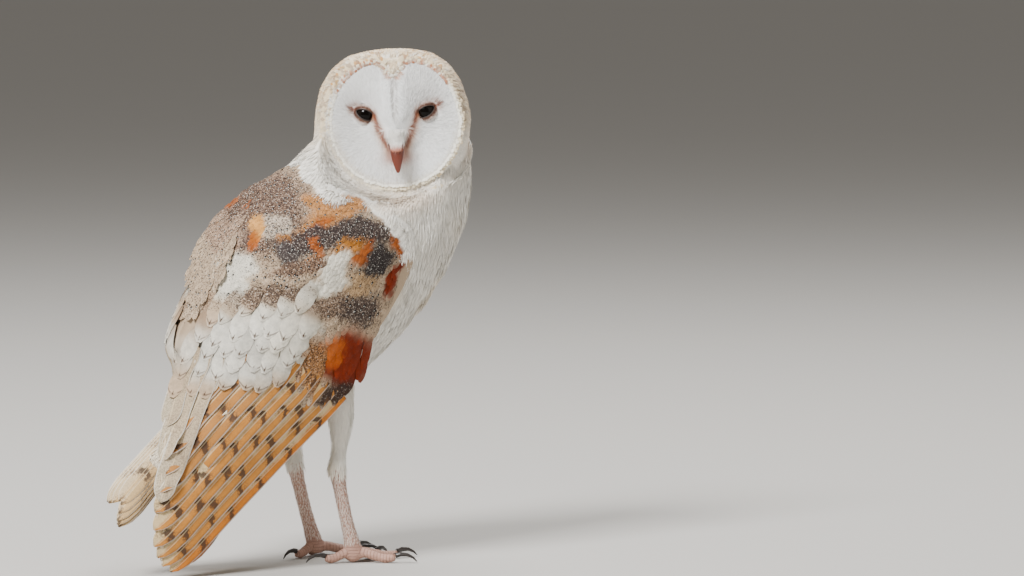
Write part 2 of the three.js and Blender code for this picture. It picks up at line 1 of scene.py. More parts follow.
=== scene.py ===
"""Barn owl, standing, looking back over its right shoulder: skin, coat, flight feathers and finish."""

import itertools
import math
from collections import namedtuple

import bmesh
import bpy
import numpy as np
from mathutils import Matrix, Vector
from mathutils.bvhtree import BVHTree


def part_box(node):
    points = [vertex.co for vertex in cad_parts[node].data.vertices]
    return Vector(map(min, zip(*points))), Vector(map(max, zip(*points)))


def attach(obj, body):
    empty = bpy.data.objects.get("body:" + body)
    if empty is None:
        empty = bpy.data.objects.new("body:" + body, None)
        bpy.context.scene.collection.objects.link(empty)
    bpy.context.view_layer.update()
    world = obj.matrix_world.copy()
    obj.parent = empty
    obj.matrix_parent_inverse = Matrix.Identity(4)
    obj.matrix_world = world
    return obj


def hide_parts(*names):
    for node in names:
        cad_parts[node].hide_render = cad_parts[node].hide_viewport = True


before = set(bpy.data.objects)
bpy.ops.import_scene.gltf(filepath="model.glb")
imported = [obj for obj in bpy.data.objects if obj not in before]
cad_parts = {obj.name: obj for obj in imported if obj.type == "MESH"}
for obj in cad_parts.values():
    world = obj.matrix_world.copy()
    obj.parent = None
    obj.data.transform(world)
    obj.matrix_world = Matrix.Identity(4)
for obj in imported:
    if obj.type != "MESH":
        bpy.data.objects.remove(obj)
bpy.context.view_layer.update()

bl_info = {
    "name": "Barn Owl",
    "version": (1, 0, 0),
    "blender": (4, 5, 0),
    "location": "View3D > Sidebar > Owl",
    "description": "Builds the skin, feathers, face and feet of a standing barn owl",
    "category": "Add Mesh",
}

# Where the owl stands. The body frame has x forward, y to the bird's left and z up; the head frame
# sits behind the middle of the facial disc, with the face looking along -y. Both in millimetres.

MM = 0.001
DOWN = np.array([0.0, 0.0, -1.0])
HEADING = math.radians(38)
HEAD_IN_BODY = np.array([33.0, -13.5, 291.0])
EYE_SPREAD = 19.9
EYE_DEPTH = -14.5
EYE_HEIGHT = 7.0
EYE_RADIUS = 7.0
EYE_SLANT = math.radians(26)
DISC_RADIUS = 42.5
DISC_NOTCH = 9.0
LEFT_WING_FORWARD = 30.0  # how much further forward the tip of the left wing hangs
VIEW_RISE = math.radians(4)  # how steeply the camera looks down

SIDES = ("left", "right")
SIDE_SIGNS = (("left", 1), ("right", -1))
TOES = ("inner", "middle", "outer", "hind")
FACE_NODES = ["face_left", "face_right", "face_ridge"]
WING_NODES = {
    side: [f"wing_{side}_{part}" for part in ("coverts", "primaries", "secondaries")]
    for side in ("right", "left")
}
FOOT_NODES = [f"toe_{side}_{toe}" for side in SIDES for toe in TOES]
FOOT_NODES += [f"tarsus_{side}" for side in SIDES]
CLAW_NODES = [f"claw_{side}_{toe}" for side in SIDES for toe in TOES]
BODY_NODES = ["head", "ruff", "neck", "trunk", "tail_coverts", "thigh_left", "thigh_right"]
FLESH_NODES = BODY_NODES + FACE_NODES + FOOT_NODES


def middle_of(node):
    low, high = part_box(node)
    return np.array((low + high) / 2) / MM


def place_frames():
    """The head's and the body's own axes and origins, found from where the two eyes are."""
    left, right = middle_of("eye_left"), middle_of("eye_right")
    across = (left - right) / np.linalg.norm(left - right)
    ahead = np.array([0.0, 1.0, 0.0])
    up = np.cross(across, ahead)
    head_axes = np.stack([across, ahead, up], 1)
    head_at = (left + right) / 2 - head_axes @ np.array([0.0, EYE_DEPTH, EYE_HEIGHT])
    c, s = math.cos(HEADING), math.sin(HEADING)
    body_axes = np.array([[c, -s, 0.0], [s, c, 0.0], [0.0, 0.0, 1.0]])
    body_at = head_at - body_axes @ HEAD_IN_BODY
    return head_axes, head_at, body_axes, body_at


HEAD_AXES, HEAD_AT, BODY_AXES, BODY_AT = place_frames()
CHART_AT = BODY_AT - BODY_AXES @ np.array([30 * BODY_AXES[0, 0], 30 * BODY_AXES[0, 1], 0.0])


def to_head(points):
    return (points - HEAD_AT) @ HEAD_AXES


def from_head(points):
    return points @ HEAD_AXES.T + HEAD_AT


def to_body(points):
    return (points - BODY_AT) @ BODY_AXES


def from_body(points):
    return points @ BODY_AXES.T + BODY_AT


def mirrored(body, forward):
    """Places in the body frame on the other side, where the left wing hangs further forward."""
    body = body * np.array([1.0, -1.0, 1.0])
    body[:, 0] += forward * smooth(150, 25, body[:, 2])
    return body


def srgb(*values):
    """A colour given as 0 to 255, as the linear numbers that shaders take."""
    v = np.array(values, float) / 255
    return np.where(v <= 0.04045, v / 12.92, ((v + 0.055) / 1.055) ** 2.4)


def smooth(a, b, x):
    t = np.clip((x - a) / (b - a), 0, 1)
    return t * t * (3 - 2 * t)


def unit(v):
    return v / np.maximum(np.linalg.norm(v, axis=-1, keepdims=True), 1e-9)


def waves(points, size):
    """Smooth uneven field between about -1 and 1, whose lumps are about this size."""
    p = points / size
    a = np.sin(p[:, 0] * 1.7 + 1.3 * np.sin(p[:, 1] * 1.1 + 0.7) + p[:, 2] * 0.9)
    b = np.sin(p[:, 1] * 1.9 + 1.1 * np.sin(p[:, 2] * 1.3 + 2.1) - p[:, 0] * 0.6)
    c = np.sin(p[:, 2] * 1.6 + 1.2 * np.sin(p[:, 0] * 1.2 + 4.0) + p[:, 1] * 0.8)
    return (a + b + c) / 2.2


def grain(points, seed):
    """A different number between 0 and 1 for each point."""
    return np.abs(np.sin(points @ np.array([129.898, 782.33, 377.19]) + seed) * 437.585) % 1.0


# Colours

WHITE = srgb(246, 242, 232)
CREAM = srgb(236, 214, 172)
BUFF = srgb(222, 172, 104)
GOLD = srgb(196, 130, 36)
ORANGE = srgb(178, 92, 6)
RUST = srgb(136, 44, 0)
MAUVE = srgb(150, 124, 106)
SLATE = srgb(90, 78, 76)
CHARCOAL = srgb(60, 54, 54)
GREY_BUFF = srgb(178, 152, 128)


class Paint:
    """Colours of many points, laid on one mask at a time."""

    def __init__(self, count, colour):
        self.colours = np.tile(colour, (count, 1))

    def blend(self, mask, colour):
        self.colours += (colour - self.colours) * np.clip(mask, 0, 1)[:, None]


class Look(bpy.types.PropertyGroup):
    """Sizes and finish that a user would change."""

    coat_depth: bpy.props.FloatProperty(
        name="Coat depth", description="How far the skin lies under the feather tips",
        default=0.0030, min=0.001, max=0.01, unit="LENGTH",
    )
    skin_voxel: bpy.props.FloatProperty(
        name="Skin detail", description="Cell size that the one skin is built with",
        default=0.0014, min=0.0008, max=0.004, unit="LENGTH",
    )
    coat_amount: bpy.props.FloatProperty(
        name="Coat amount", description="How many tufts there are, against the usual number",
        default=1.0, min=0.1, max=1.5, subtype="FACTOR",
    )
    eye_colour: bpy.props.FloatVectorProperty(
        name="Iris colour", description="Colour of the nearly black iris",
        default=(0.012, 0.008, 0.006), size=3, min=0, max=1, subtype="COLOR",
    )
    bill_colour: bpy.props.FloatVectorProperty(
        name="Bill colour", description="Colour of the horn of the bill",
        default=(0.12, 0.026, 0.013), size=3, min=0, max=1, subtype="COLOR",
    )
    floor_colour: bpy.props.FloatVectorProperty(
        name="Floor colour", description="Colour of the plain floor",
        default=(0.52, 0.50, 0.47), size=3, min=0, max=1, subtype="COLOR",
    )


# Shader helper


class Sock:
    """A socket that takes the usual operators and adds Math nodes for them."""

    def __init__(self, graph, socket):
        self.graph = graph
        self.socket = socket

    def _math(self, operation, *values):
        return self.graph.node("ShaderNodeMath", {"operation": operation}, dict(enumerate(values)))

    def __add__(self, other):
        return self._math("ADD", self, other)

    def __sub__(self, other):
        return self._math("SUBTRACT", self, other)

    def __rsub__(self, other):
        return self._math("SUBTRACT", other, self)

    def __mul__(self, other):
        return self._math("MULTIPLY", self, other)

    def __truediv__(self, other):
        return self._math("DIVIDE", self, other)

    def __pow__(self, other):
        return self._math("POWER", self, other)

    def __abs__(self):
        return self._math("ABSOLUTE", self)

    def sine(self):
        return self._math("SINE", self)

    def fraction(self):
        return self._math("FRACT", self)

    def step(self, low, high):
        """0 at low and 1 at high, smoothly."""
        settings = {"interpolation_type": "SMOOTHSTEP", "clamp": True}
        return self.graph.node(
            "ShaderNodeMapRange", settings, {"Value": self, "From Min": low, "From Max": high}
        )


class Graph:
    """The node tree of one material."""

    def __init__(self, name):
        self.material = bpy.data.materials.new(name)
        self.material.use_nodes = True
        self.tree = self.material.node_tree
        self.tree.nodes.clear()

    def node(self, kind, settings=None, sockets=None, output=0):
        made = self.tree.nodes.new(kind)
        for key, value in (settings or {}).items():
            if key == "stops":
                self._set_stops(made.color_ramp, value)
            else:
                setattr(made, key, value)
        for key, value in (sockets or {}).items():
            target = made.inputs[key]
            if isinstance(value, Sock):
                self.tree.links.new(value.socket, target)
            else:
                target.default_value = value
        return Sock(self, made.outputs[output])

    def _set_stops(self, ramp, stops):
        while len(ramp.elements) < len(stops):
            ramp.elements.new(0.5)
        for element, (position, colour) in zip(ramp.elements, stops):
            element.position = position
            element.color = (*colour[:3], 1.0)

    def mix(self, factor, a, b):
        settings = {"data_type": "RGBA", "clamp_factor": True}
        ends = [v if isinstance(v, Sock) else (*tuple(v)[:3], 1.0) for v in (a, b)]
        return self.node("ShaderNodeMix", settings, {0: factor, 6: ends[0], 7: ends[1]}, output=2)

    def scale(self, colour, amount):
        """A colour made lighter or darker by a number."""
        grey = self.node("ShaderNodeCombineXYZ", {}, {0: amount, 1: amount, 2: amount})
        return self.node(
            "ShaderNodeVectorMath", {"operation": "MULTIPLY"}, {0: colour, 1: grey}
        )

    def attribute(self, name, output="Fac"):
        made = self.tree.nodes.new("ShaderNodeAttribute")
        made.attribute_name = name
        return Sock(self, made.outputs[output])

    def uv(self, name):
        made = self.tree.nodes.new("ShaderNodeUVMap")
        made.uv_map = name
        split = self.tree.nodes.new("ShaderNodeSeparateXYZ")
        self.tree.links.new(made.outputs[0], split.inputs[0])
        return Sock(self, split.outputs[0]), Sock(self, split.outputs[1])

    def place(self):
        return self.node("ShaderNodeTexCoord", {}, {}, output=3)

    def noise(self, where, scale, detail=3.0, roughness=0.6):
        values = {"Vector": where, "Scale": scale, "Detail": detail, "Roughness": roughness}
        return self.node("ShaderNodeTexNoise", {}, values)

    def cells(self, where, scale):
        return self.node("ShaderNodeTexVoronoi", {}, {"Vector": where, "Scale": scale})

    def bump(self, height, strength, distance):
        values = {"Height": height, "Strength": strength, "Distance": distance}
        return self.node("ShaderNodeBump", {}, values)

    def finish(self, colour, roughness, normal=None, **fixed):
        shader = self.tree.nodes.new("ShaderNodeBsdfPrincipled")
        values = {"Base Color": colour, "Roughness": roughness}
        if normal is not None:
            values["Normal"] = normal
        for key, value in fixed.items():
            values[key.replace("_", " ")] = value
        for key, value in values.items():
            if isinstance(value, Sock):
                self.tree.links.new(value.socket, shader.inputs[key])
            elif key.endswith("Color") or key.endswith("Tint"):
                shader.inputs[key].default_value = (*tuple(value)[:3], 1.0)
            else:
                shader.inputs[key].default_value = value
        out = self.tree.nodes.new("ShaderNodeOutputMaterial")
        self.tree.links.new(shader.outputs[0], out.inputs[0])
        return self.material


# Materials


def down_material():
    """Soft plumage: each tuft's own colour with painted shade darker at its root, and faint mottling.
    """
    g = Graph("down")
    tint = g.attribute("tint", "Color")
    mottle = g.noise(g.place(), 900.0)
    colour = g.scale(tint, mottle * 0.24 + 0.88)
    return g.finish(colour, 0.85, Sheen_Weight=0.25, Sheen_Roughness=0.5)


def covert_material():
    """Small wing feathers: tint, dark dusting, ringed dots, tip marks partly painted as shadow at the
    tip's edge, and barbs.
    """
    g = Graph("covert")
    tint = g.attribute("tint", "Color")
    speckle = g.attribute("speckle")
    across, along = g.uv("Vane")
    where = g.place()
    fine = g.noise(where, 950.0, detail=3.0, roughness=0.7)
    broad = g.noise(where, 260.0, detail=3.0)
    colour = g.scale(tint, (broad - 0.5) * 0.8 + (fine - 0.5) * 0.5 + 1.0)
    dust = fine.step(0.625 - speckle * 0.17, 0.665 - speckle * 0.17) * speckle.step(0.05, 0.3)
    colour = g.mix(dust * 0.85, colour, srgb(48, 40, 40))
    pale = fine.step(0.42, 0.34) * speckle
    colour = g.mix(pale * 0.6, colour, WHITE)
    centre = across - 0.5
    ring = (centre * centre + ((along - 0.80) * 1.8) ** 2.0) ** 0.5
    pearl = (centre * centre + ((along - 0.83) * 1.8) ** 2.0) ** 0.5
    dot = g.attribute("dot")
    colour = g.mix(ring.step(0.24, 0.15) * dot, colour, srgb(18, 14, 16))
    colour = g.mix(pearl.step(0.09, 0.04) * dot * 0.85, colour, WHITE)
    side = abs(centre)
    # The brown line along the tip margin is partly a tip marking and partly painted shadow at the
    # tip's edge, where it overlaps the feather below; the arrow is a marking.
    margin = along + side * side * 0.75 + (fine - 0.5) * 0.06
    line = margin.step(0.86, 0.90) * margin.step(0.99, 0.95) * broad.step(0.40, 0.55)
    arrow = (side * 1.5 + abs(along - 0.88) * 1.3).step(0.16, 0.07)
    brown = (line * 0.75 + arrow * broad.step(0.32, 0.5)) * g.attribute("tip")
    colour = g.mix(brown * 0.85, colour, srgb(74, 54, 42))
    barbs = ((along * 34.0 - side * 20.0) * 6.283).sine()
    normal = g.bump(barbs, 0.3, 0.0003)
    return g.finish(colour, 0.85, normal, Specular_IOR_Level=0.25)


def flight_material():
    """Primaries, secondaries and tail: coloured webs, pale shaft, dark bars and fine speckle."""
    g = Graph("flight_feather")
    tint = g.attribute("tint", "Color")
    inner = g.attribute("inner", "Color")
    bars = g.attribute("bars")
    shaft_at = g.attribute("shaft")
    from_tip = g.attribute("from_tip")
    across, along = g.uv("Vane")
    where = g.place()
    side = across - shaft_at
    streak = g.noise(where, 700.0, detail=2.0)
    cloud = g.noise(where, 110.0, detail=3.0)
    web = (side + (cloud - 0.5) * 0.35).step(-0.04, 0.16)
    colour = g.mix(web, tint, inner)
    colour = g.scale(colour, streak * 0.3 + cloud * 0.6 + 0.55)
    wander = g.noise(where, 260.0, detail=3.0) - 0.5
    cycle = ((from_tip + abs(side) * 0.010 + wander * 0.010) / 0.027 + 0.45).fraction()
    near = abs(cycle - 0.5)
    reach = (abs(side) + wander * 0.3).step(0.46, 0.22)
    dust = g.noise(where, 950.0, detail=2.0).step(0.46, 0.58)
    halo = near.step(0.30, 0.08) * dust * bars
    core = near.step(0.12, 0.05) * reach * bars
    colour = g.mix(halo * 0.6, colour, srgb(110, 76, 48))
    colour = g.mix(core * 0.88, colour, srgb(58, 40, 30))
    peppered = dust * (1.0 - bars * 0.6) * g.attribute("speckle")
    colour = g.mix(peppered * 0.6, colour, srgb(104, 88, 76))
    shaft = abs(side).step(0.035, 0.015)
    colour = g.mix(shaft * 0.4, colour, CREAM)
    edge = abs(across - 0.5).step(0.43, 0.49)
    colour = g.mix(edge * 0.55, colour, WHITE)
    barbs = ((along * 150.0 - abs(side) * 26.0) * 6.283).sine()
    normal = g.bump(barbs * 0.4 + shaft * 2.0, 0.3, 0.0004)
    return g.finish(colour, 0.7, normal, Specular_IOR_Level=0.3)


def skin_material():
    """Skin under the coat, in the coat's colours a little darkened as painted shade, and the scaled
    skin of the feet.
    """
    g = Graph("owl_skin")
    tint = g.attribute("tint", "Color")
    bare = g.attribute("bare")
    where = g.place()
    mottle = g.noise(where, 500.0)
    colour = g.scale(tint, mottle * 0.2 + 0.9)
    ring = (g.attribute("along") / 0.0021).fraction()
    groove = abs(ring - 0.5).step(0.36, 0.5)
    plates = g.cells(where, 620.0)
    scales = plates.step(0.9, 0.3) * 0.5 + (1.0 - groove)
    colour = g.mix(groove * bare * 0.55, colour, srgb(110, 74, 60))
    roughness = 0.85 - bare * 0.3
    normal = g.bump(scales * bare, 0.6, 0.0006)
    return g.finish(colour, roughness, normal)


def eye_material(look):
    """Nearly black iris and pupil behind a wet, clear surface."""
    g = Graph("owl_eye")
    iris = g.attribute("iris")
    rays = g.noise(g.place(), 1500.0)
    colour = g.mix(iris * rays, tuple(c * 0.2 for c in look.eye_colour), look.eye_colour)
    return g.finish(colour, 0.1, IOR=1.30, Specular_IOR_Level=0.3)


def bill_material(look):
    """Pinkish horn, paler at the tip, with faint growth lines."""
    g = Graph("bill_horn")
    along = g.attribute("along")
    lines = g.noise(g.place(), 1100.0, detail=4.0)
    colour = g.mix(along, look.bill_colour, srgb(120, 50, 34))
    colour = g.scale(colour, lines * 0.3 + 0.85)
    normal = g.bump(lines, 0.15, 0.0003)
    return g.finish(colour, 0.38, normal)


def claw_material():
    """Dark polished horn with fine lengthwise grain."""
    g = Graph("claw_horn")
    grain = g.noise(g.place(), 1400.0, detail=5.0)
    colour = g.mix(grain, srgb(22, 19, 18), srgb(64, 55, 50))
    normal = g.bump(grain, 0.12, 0.0002)
    return g.finish(colour, grain * 0.2 + 0.22, normal)


def lid_material():
    """Dark bare rim of the eyelids."""
    g = Graph("eyelid")
    fold = g.noise(g.place(), 1800.0)
    rim = g.attribute("rim")
    colour = g.mix(rim, srgb(150, 104, 74), srgb(40, 28, 24))
    normal = g.bump(fold, 0.4, 0.0003)
    return g.finish(g.scale(colour, fold * 0.4 + 0.8), 0.5, normal)


# Mesh helpers


class Owl:
    """What the pieces share: the grounds that tufts grow on, the wing charts and the materials."""

    skin = None
    core = None
    charts = {}
    materials = {}


def linked(name, data):
    """An object of some data, in the scene."""
    obj = bpy.data.objects.new(name, data)
    bpy.context.scene.collection.objects.link(obj)
    return obj


def new_object(name, mesh, *materials):
    for material in materials:
        mesh.materials.append(material)
    return linked(name, mesh)


def seat(obj, slot, *replaced):
    """Rides a finished piece on the owl's one body."""
    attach(obj, "root")
    if replaced:
        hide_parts(*replaced)
    return obj


def mesh_from(bm, name):
    """The mesh of a bmesh, which is then let go."""
    mesh = bpy.data.meshes.new(name)
    bm.to_mesh(mesh)
    bm.free()
    return mesh


def modify(obj, kind, **settings):
    """Adds one modifier with its settings."""
    made = obj.modifiers.new(kind.lower(), kind)
    for key, value in settings.items():
        setattr(made, key, value)


def apply_modifiers(obj):
    """Replaces an object's mesh by what its modifiers make of it."""
    depsgraph = bpy.context.evaluated_depsgraph_get()
    made = bpy.data.meshes.new_from_object(obj.evaluated_get(depsgraph))
    old = obj.data
    obj.modifiers.clear()
    obj.data = made
    bpy.data.meshes.remove(old)
    return made


def coords(mesh):
    out = np.zeros(len(mesh.vertices) * 3, np.float32)
    mesh.vertices.foreach_get("co", out)
    return out.reshape(-1, 3).astype(float)


def set_points(mesh, points):
    mesh.vertices.foreach_set("co", (points * MM).astype(np.float32).ravel())


def set_colour(mesh, name, values):
    layer = mesh.attributes.new(name, "FLOAT_COLOR", "POINT")
    full = np.ones((len(values), 4), np.float32)
    full[:, :3] = values
    layer.data.foreach_set("color", full.ravel())


def set_number(mesh, name, values):
    layer = mesh.attributes.new(name, "FLOAT", "POINT")
    layer.data.foreach_set("value", np.asarray(values, np.float32).ravel())


def shade_smooth(mesh):
    mesh.polygons.foreach_set("use_smooth", np.ones(len(mesh.polygons), bool))


def finish_surface(mesh, *materials):
    """Shades a mesh smoothly and gives it these materials alone."""
    shade_smooth(mesh)
    mesh.materials.clear()
    for material in materials:
        mesh.materials.append(material)


def merged_copy(nodes, name):
    """One mesh of several CAD nodes, with each node's loose triangles joined up."""
    bm = bmesh.new()
    for node in nodes:
        bm.from_mesh(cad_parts[node].data)
    bmesh.ops.remove_doubles(bm, verts=bm.verts, dist=2e-6)
    return mesh_from(bm, name)


def joined(name, meshes):
    """One mesh of several."""
    bm = bmesh.new()
    for part in meshes:
        bm.from_mesh(part)
    return mesh_from(bm, name)


def tree_of(nodes):
    """A search tree over some CAD nodes, in millimetres, and the node of each triangle."""
    points, faces, owners = [], [], []
    for index, node in enumerate(nodes):
        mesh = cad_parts[node].data
        start = len(points)
        points += [Vector(v.co) / MM for v in mesh.vertices]
        for polygon in mesh.polygons:
            faces.append([start + i for i in polygon.vertices])
            owners.append(index)
    return BVHTree.FromPolygons(points, faces), np.array(owners)


def grid_faces(count, rows, columns):
    """The quads of many equal grids of vertices, as an array of vertex numbers."""
    r, c = np.meshgrid(np.arange(rows - 1), np.arange(columns - 1), indexing="ij")
    corner = (r * columns + c).ravel()
    quad = np.stack([corner, corner + 1, corner + columns + 1, corner + columns], 1)
    start = np.arange(count)[:, None, None] * rows * columns
    return (quad[None] + start).reshape(-1, 4)


def array_mesh(name, points, quads, uv_maps):
    """A mesh of quads from arrays. Each UV map has one pair of numbers for each vertex."""
    mesh = bpy.data.meshes.new(name)
    mesh.vertices.add(len(points))
    mesh.vertices.foreach_set("co", (points * MM).astype(np.float32).ravel())
    mesh.loops.add(quads.size)
    mesh.loops.foreach_set("vertex_index", quads.astype(np.int32).ravel())
    mesh.polygons.add(len(quads))
    mesh.polygons.foreach_set("loop_start", np.arange(0, quads.size, 4, dtype=np.int32))
    for key, values in uv_maps.items():
        layer = mesh.uv_layers.new(name=key)
        layer.data.foreach_set("uv", values[quads.ravel()].astype(np.float32).ravel())
    mesh.update(calc_edges=True)
    shade_smooth(mesh)
    return mesh


def vane_coordinates(count, rows, columns):
    u, v = np.meshgrid(np.linspace(0, 1, columns), np.linspace(0, 1, rows))
    return np.tile(np.stack([u, v], -1)[None], (count, 1, 1, 1))


def neighbour_mean(mesh, values):
    """Mean of a value over each vertex's neighbours."""
    edges = np.zeros(len(mesh.edges) * 2, np.int32)
    mesh.edges.foreach_get("vertices", edges)
    a, b = edges.reshape(-1, 2).T
    total = np.bincount(a, values[b], len(values)) + np.bincount(b, values[a], len(values))
    count = np.bincount(a, minlength=len(values)) + np.bincount(b, minlength=len(values))
    return total / np.maximum(count, 1)


def unwrap(obj):
    """An unwrap of the skin's own shape, for the bake."""
    obj.data.uv_layers.new(name="OFBake")
    bpy.ops.object.select_all(action="DESELECT")
    bpy.context.view_layer.objects.active = obj
    obj.select_set(True)
    bpy.ops.object.mode_set(mode="EDIT")
    bpy.ops.mesh.select_all(action="SELECT")
    bpy.ops.uv.smart_project(angle_limit=math.radians(66), island_margin=0.002)
    bpy.ops.object.mode_set(mode="OBJECT")


# Markings of head and body


def disc_outline(angle):
    """Radius of the heart-shaped disc at an angle in the head frame."""
    corners = 0.06 * np.maximum(0, np.sin(angle)) * np.abs(np.sin(2 * angle))
    turn = (np.degrees(angle) - 90 + 180) % 360 - 180
    return DISC_RADIUS * (1 + corners) - DISC_NOTCH * np.exp(-((turn / 11) ** 2))


def disc_distance(head_points):
    """How far outside the disc's outline a point lies; negative on the face."""
    x, z = head_points[:, 0], head_points[:, 2]
    return np.hypot(x, z) - disc_outline(np.arctan2(z, x))


def eye_reach(head, half_long, half_short):
    """Places by the nearer eye's slanted opening: along it, across it and how far out, where 1
    is an ellipse of these half sizes."""
    ex, ez = np.abs(head[:, 0]) - EYE_SPREAD, head[:, 2] - EYE_HEIGHT
    long = ex * math.cos(EYE_SLANT) + ez * math.sin(EYE_SLANT)
    short = -ex * math.sin(EYE_SLANT) + ez * math.cos(EYE_SLANT)
    return long, short, np.hypot(long / half_long, short / half_short)


def chart_of(points, side="right"):
    """Places on the wing chart of points in the outer frame."""
    if side == "left":
        points = from_body(mirrored(to_body(points), -LEFT_WING_FORWARD))
    rel = points - CHART_AT
    v = rel[:, 2] * math.cos(VIEW_RISE) + rel[:, 1] * math.sin(VIEW_RISE)
    return np.stack([rel[:, 0], v], 1)


def own_chart(points):
    """Chart places of points, each on the chart of its own side of the body."""
    left = to_body(points)[:, 1] > 0
    return np.where(left[:, None], chart_of(points, "left"), chart_of(points))


# The line on the wing chart where the neck's white gives way to the mantle, forward and up

NECK_LINE_PLACE = [-8, 0, 1.5, 3.3, 10, 21.3, 43, 52.7, 63.3, 69.3]
NECK_LINE_HEIGHT = [275, 268, 262, 256, 248, 239.3, 239.3, 229, 216.3, 205]


def below_neck_line(chart):
    """How far a chart place is below the line where the neck's white gives way to the mantle."""
    line = np.interp(chart[:, 0], NECK_LINE_PLACE, NECK_LINE_HEIGHT)
    return smooth(1.5, -1.5, chart[:, 1] - line)


def body_tint(points):
    """Colour of the plumage of head, neck and trunk at points in the outer frame."""
    head = to_head(points)
    body = to_body(points)
    paint = Paint(len(points), WHITE)
    front = smooth(8, -8, head[:, 1])
    rim = disc_distance(head) * front + 14.0 * (1 - front)
    near_head = smooth(84, 58, np.linalg.norm(head, axis=1))
    crown = smooth(-24, 16, head[:, 2]) * smooth(0, 3, rim) * near_head
    paint.blend(crown * 0.75, CREAM)
    nape = smooth(-20, 14, head[:, 1]) * smooth(-38, 14, head[:, 2]) * near_head
    paint.blend(nape * 0.6, BUFF)
    close = np.exp(-(((rim - 5) / 6) ** 2)) * smooth(6, 24, head[:, 2])
    specked = np.maximum(smooth(-14, 24, head[:, 2]) * near_head, nape) * (0.35 + 0.65 * close)
    uneven = smooth(-0.8, 0.5, waves(points + 40, 7.0))
    paint.blend((grain(points, 1) < 0.42) * uneven * specked * 0.8, srgb(186, 138, 60))
    paint.blend((grain(points, 2) < 0.2) * specked * 0.7, srgb(140, 116, 98))
    paint.blend((grain(points, 5) < 0.15) * crown * 0.6, WHITE)
    temple = np.exp(-(((rim - 4) / 5) ** 2)) * smooth(-10, 10, head[:, 2]) * smooth(42, 26, head[:, 2])
    paint.blend(temple * (grain(points, 3) < 0.4) * 0.55, MAUVE)
    mantle = below_neck_line(own_chart(points)) * smooth(4, -10, body[:, 0])
    mantle = mantle * smooth(190, 210, body[:, 2])
    paint.blend(mantle * 0.85, MAUVE)
    paint.blend(mantle * (grain(points, 7) < 0.22) * 0.8, CHARCOAL)
    paint.blend(mantle * (grain(points, 8) < 0.22) * 0.7, WHITE)
    back = smooth(-60, -95, body[:, 0]) * smooth(120, 150, body[:, 2])
    paint.blend(back * 0.6, GREY_BUFF)
    rump = smooth(-70, -110, body[:, 0]) * smooth(150, 110, body[:, 2])
    paint.blend(rump * 0.45, CREAM)
    soft = smooth(-0.2, 0.9, waves(points + 9, 16.0)) * smooth(250, 190, body[:, 2])
    paint.blend(soft * 0.35, CREAM)
    throat = np.exp(-((head[:, 0] / 26) ** 2) - (((rim - 7) / 5) ** 2)) * (head[:, 2] < 0)
    paint.blend(throat * 0.35, BUFF)
    return paint.colours


def face_tint(head):
    """Colour of the face, in the head frame: white, rusty round the eyes and down to the bill, with
    painted shade in the dish above each eye and on the sides of the ridge.
    """
    paint = Paint(len(head), srgb(250, 250, 248))
    x, z = head[:, 0], head[:, 2]
    rim = disc_distance(head)
    paint.blend(smooth(-9, -1, rim) * smooth(10, -20, z) * 0.5, CREAM)
    # Painted shade in the dish above each eye, where the disc curves in.
    dish_shade = np.exp(-(((np.abs(x) - EYE_SPREAD) / 11) ** 2) - (((z - EYE_HEIGHT - 6) / 8) ** 2))
    paint.blend(dish_shade * 0.38, srgb(176, 168, 164))
    long, short, ring = eye_reach(head, 7.2, 4.3)
    paint.blend(smooth(1.6, 1.0, ring) * 0.7, srgb(168, 104, 60))
    paint.blend(smooth(1.22, 0.98, ring) * 0.97, srgb(70, 32, 16))
    corner = np.exp(-((short / 1.0) ** 2)) * smooth(6.2, 7.2, long) * smooth(12.5, 8.5, long)
    paint.blend(corner * 0.9, srgb(120, 56, 22))
    # The broad soft streak from each eye down beside the ridge is partly the rusty marking and partly
    # painted shade on the ridge's sides; the narrow core is the marking alone.
    track = np.clip((EYE_HEIGHT - z) / 22, 0, 1)
    aside = np.abs(x) - (EYE_SPREAD - 5.6 - track * 8.4)
    streak = np.exp(-((aside / (1.6 + 1.9 * track)) ** 2)) * smooth(8, 3, z) * smooth(-26, -14, z)
    paint.blend(streak * 0.7, srgb(200, 138, 88))
    core = np.exp(-(((aside + 0.4) / 1.2) ** 2)) * smooth(7, 4, z) * smooth(-21, -10, z)
    paint.blend(core * 0.92, srgb(122, 50, 14))
    parting = np.exp(-((x / 0.8) ** 2)) * smooth(-4, 12, z)
    paint.blend(parting * 0.6, srgb(112, 98, 84))
    cere = np.exp(-((x / 8.0) ** 2) - (((z + 20) / 4.5) ** 2)) * smooth(-12, -17, z)
    paint.blend(cere * 0.8, srgb(186, 104, 80))
    nostril = np.exp(-((x / 4.0) ** 2) - (((z + 14) / 4.0) ** 2))
    paint.blend(nostril * 0.4, srgb(196, 176, 162))
    brow = np.exp(-(((rim + 0.4) / 1.3) ** 2)) * smooth(16, 25, z) * smooth(36, 28, np.abs(x))
    paint.blend(brow * smooth(-1.4, -0.2, waves(head, 5.0)) * 0.9, srgb(190, 116, 36))
    return paint.colours


def is_node(labels, *names):
    """Which labels say one of these CAD nodes."""
    return np.isin(labels, [FLESH_NODES.index(n) for n in names])


def skin_tint(points, label):
    """Skin colour by the part it belongs to."""
    out = body_tint(points)
    face = is_node(label, *FACE_NODES)
    out[face] = face_tint(to_head(points)[face])
    out[is_node(label, *FOOT_NODES)] = srgb(188, 146, 128)
    # Painted shade: everything a little darker, as the skin lies in the coat's shade; the bare feet
    # are darkened with it.
    return out * 0.95


# The skin

# How deep the skin lies under the CAD solids' faces, where it isn't the coat's depth

SKIN_DEPTHS = {"head": 1.7, "neck": 2.4, "ruff": 1.6}
SKIN_DEPTHS.update(dict.fromkeys(FACE_NODES, 1.0))
SKIN_DEPTHS.update(dict.fromkeys(FOOT_NODES, 0.0))
CREASE_VOXEL = 0.0024


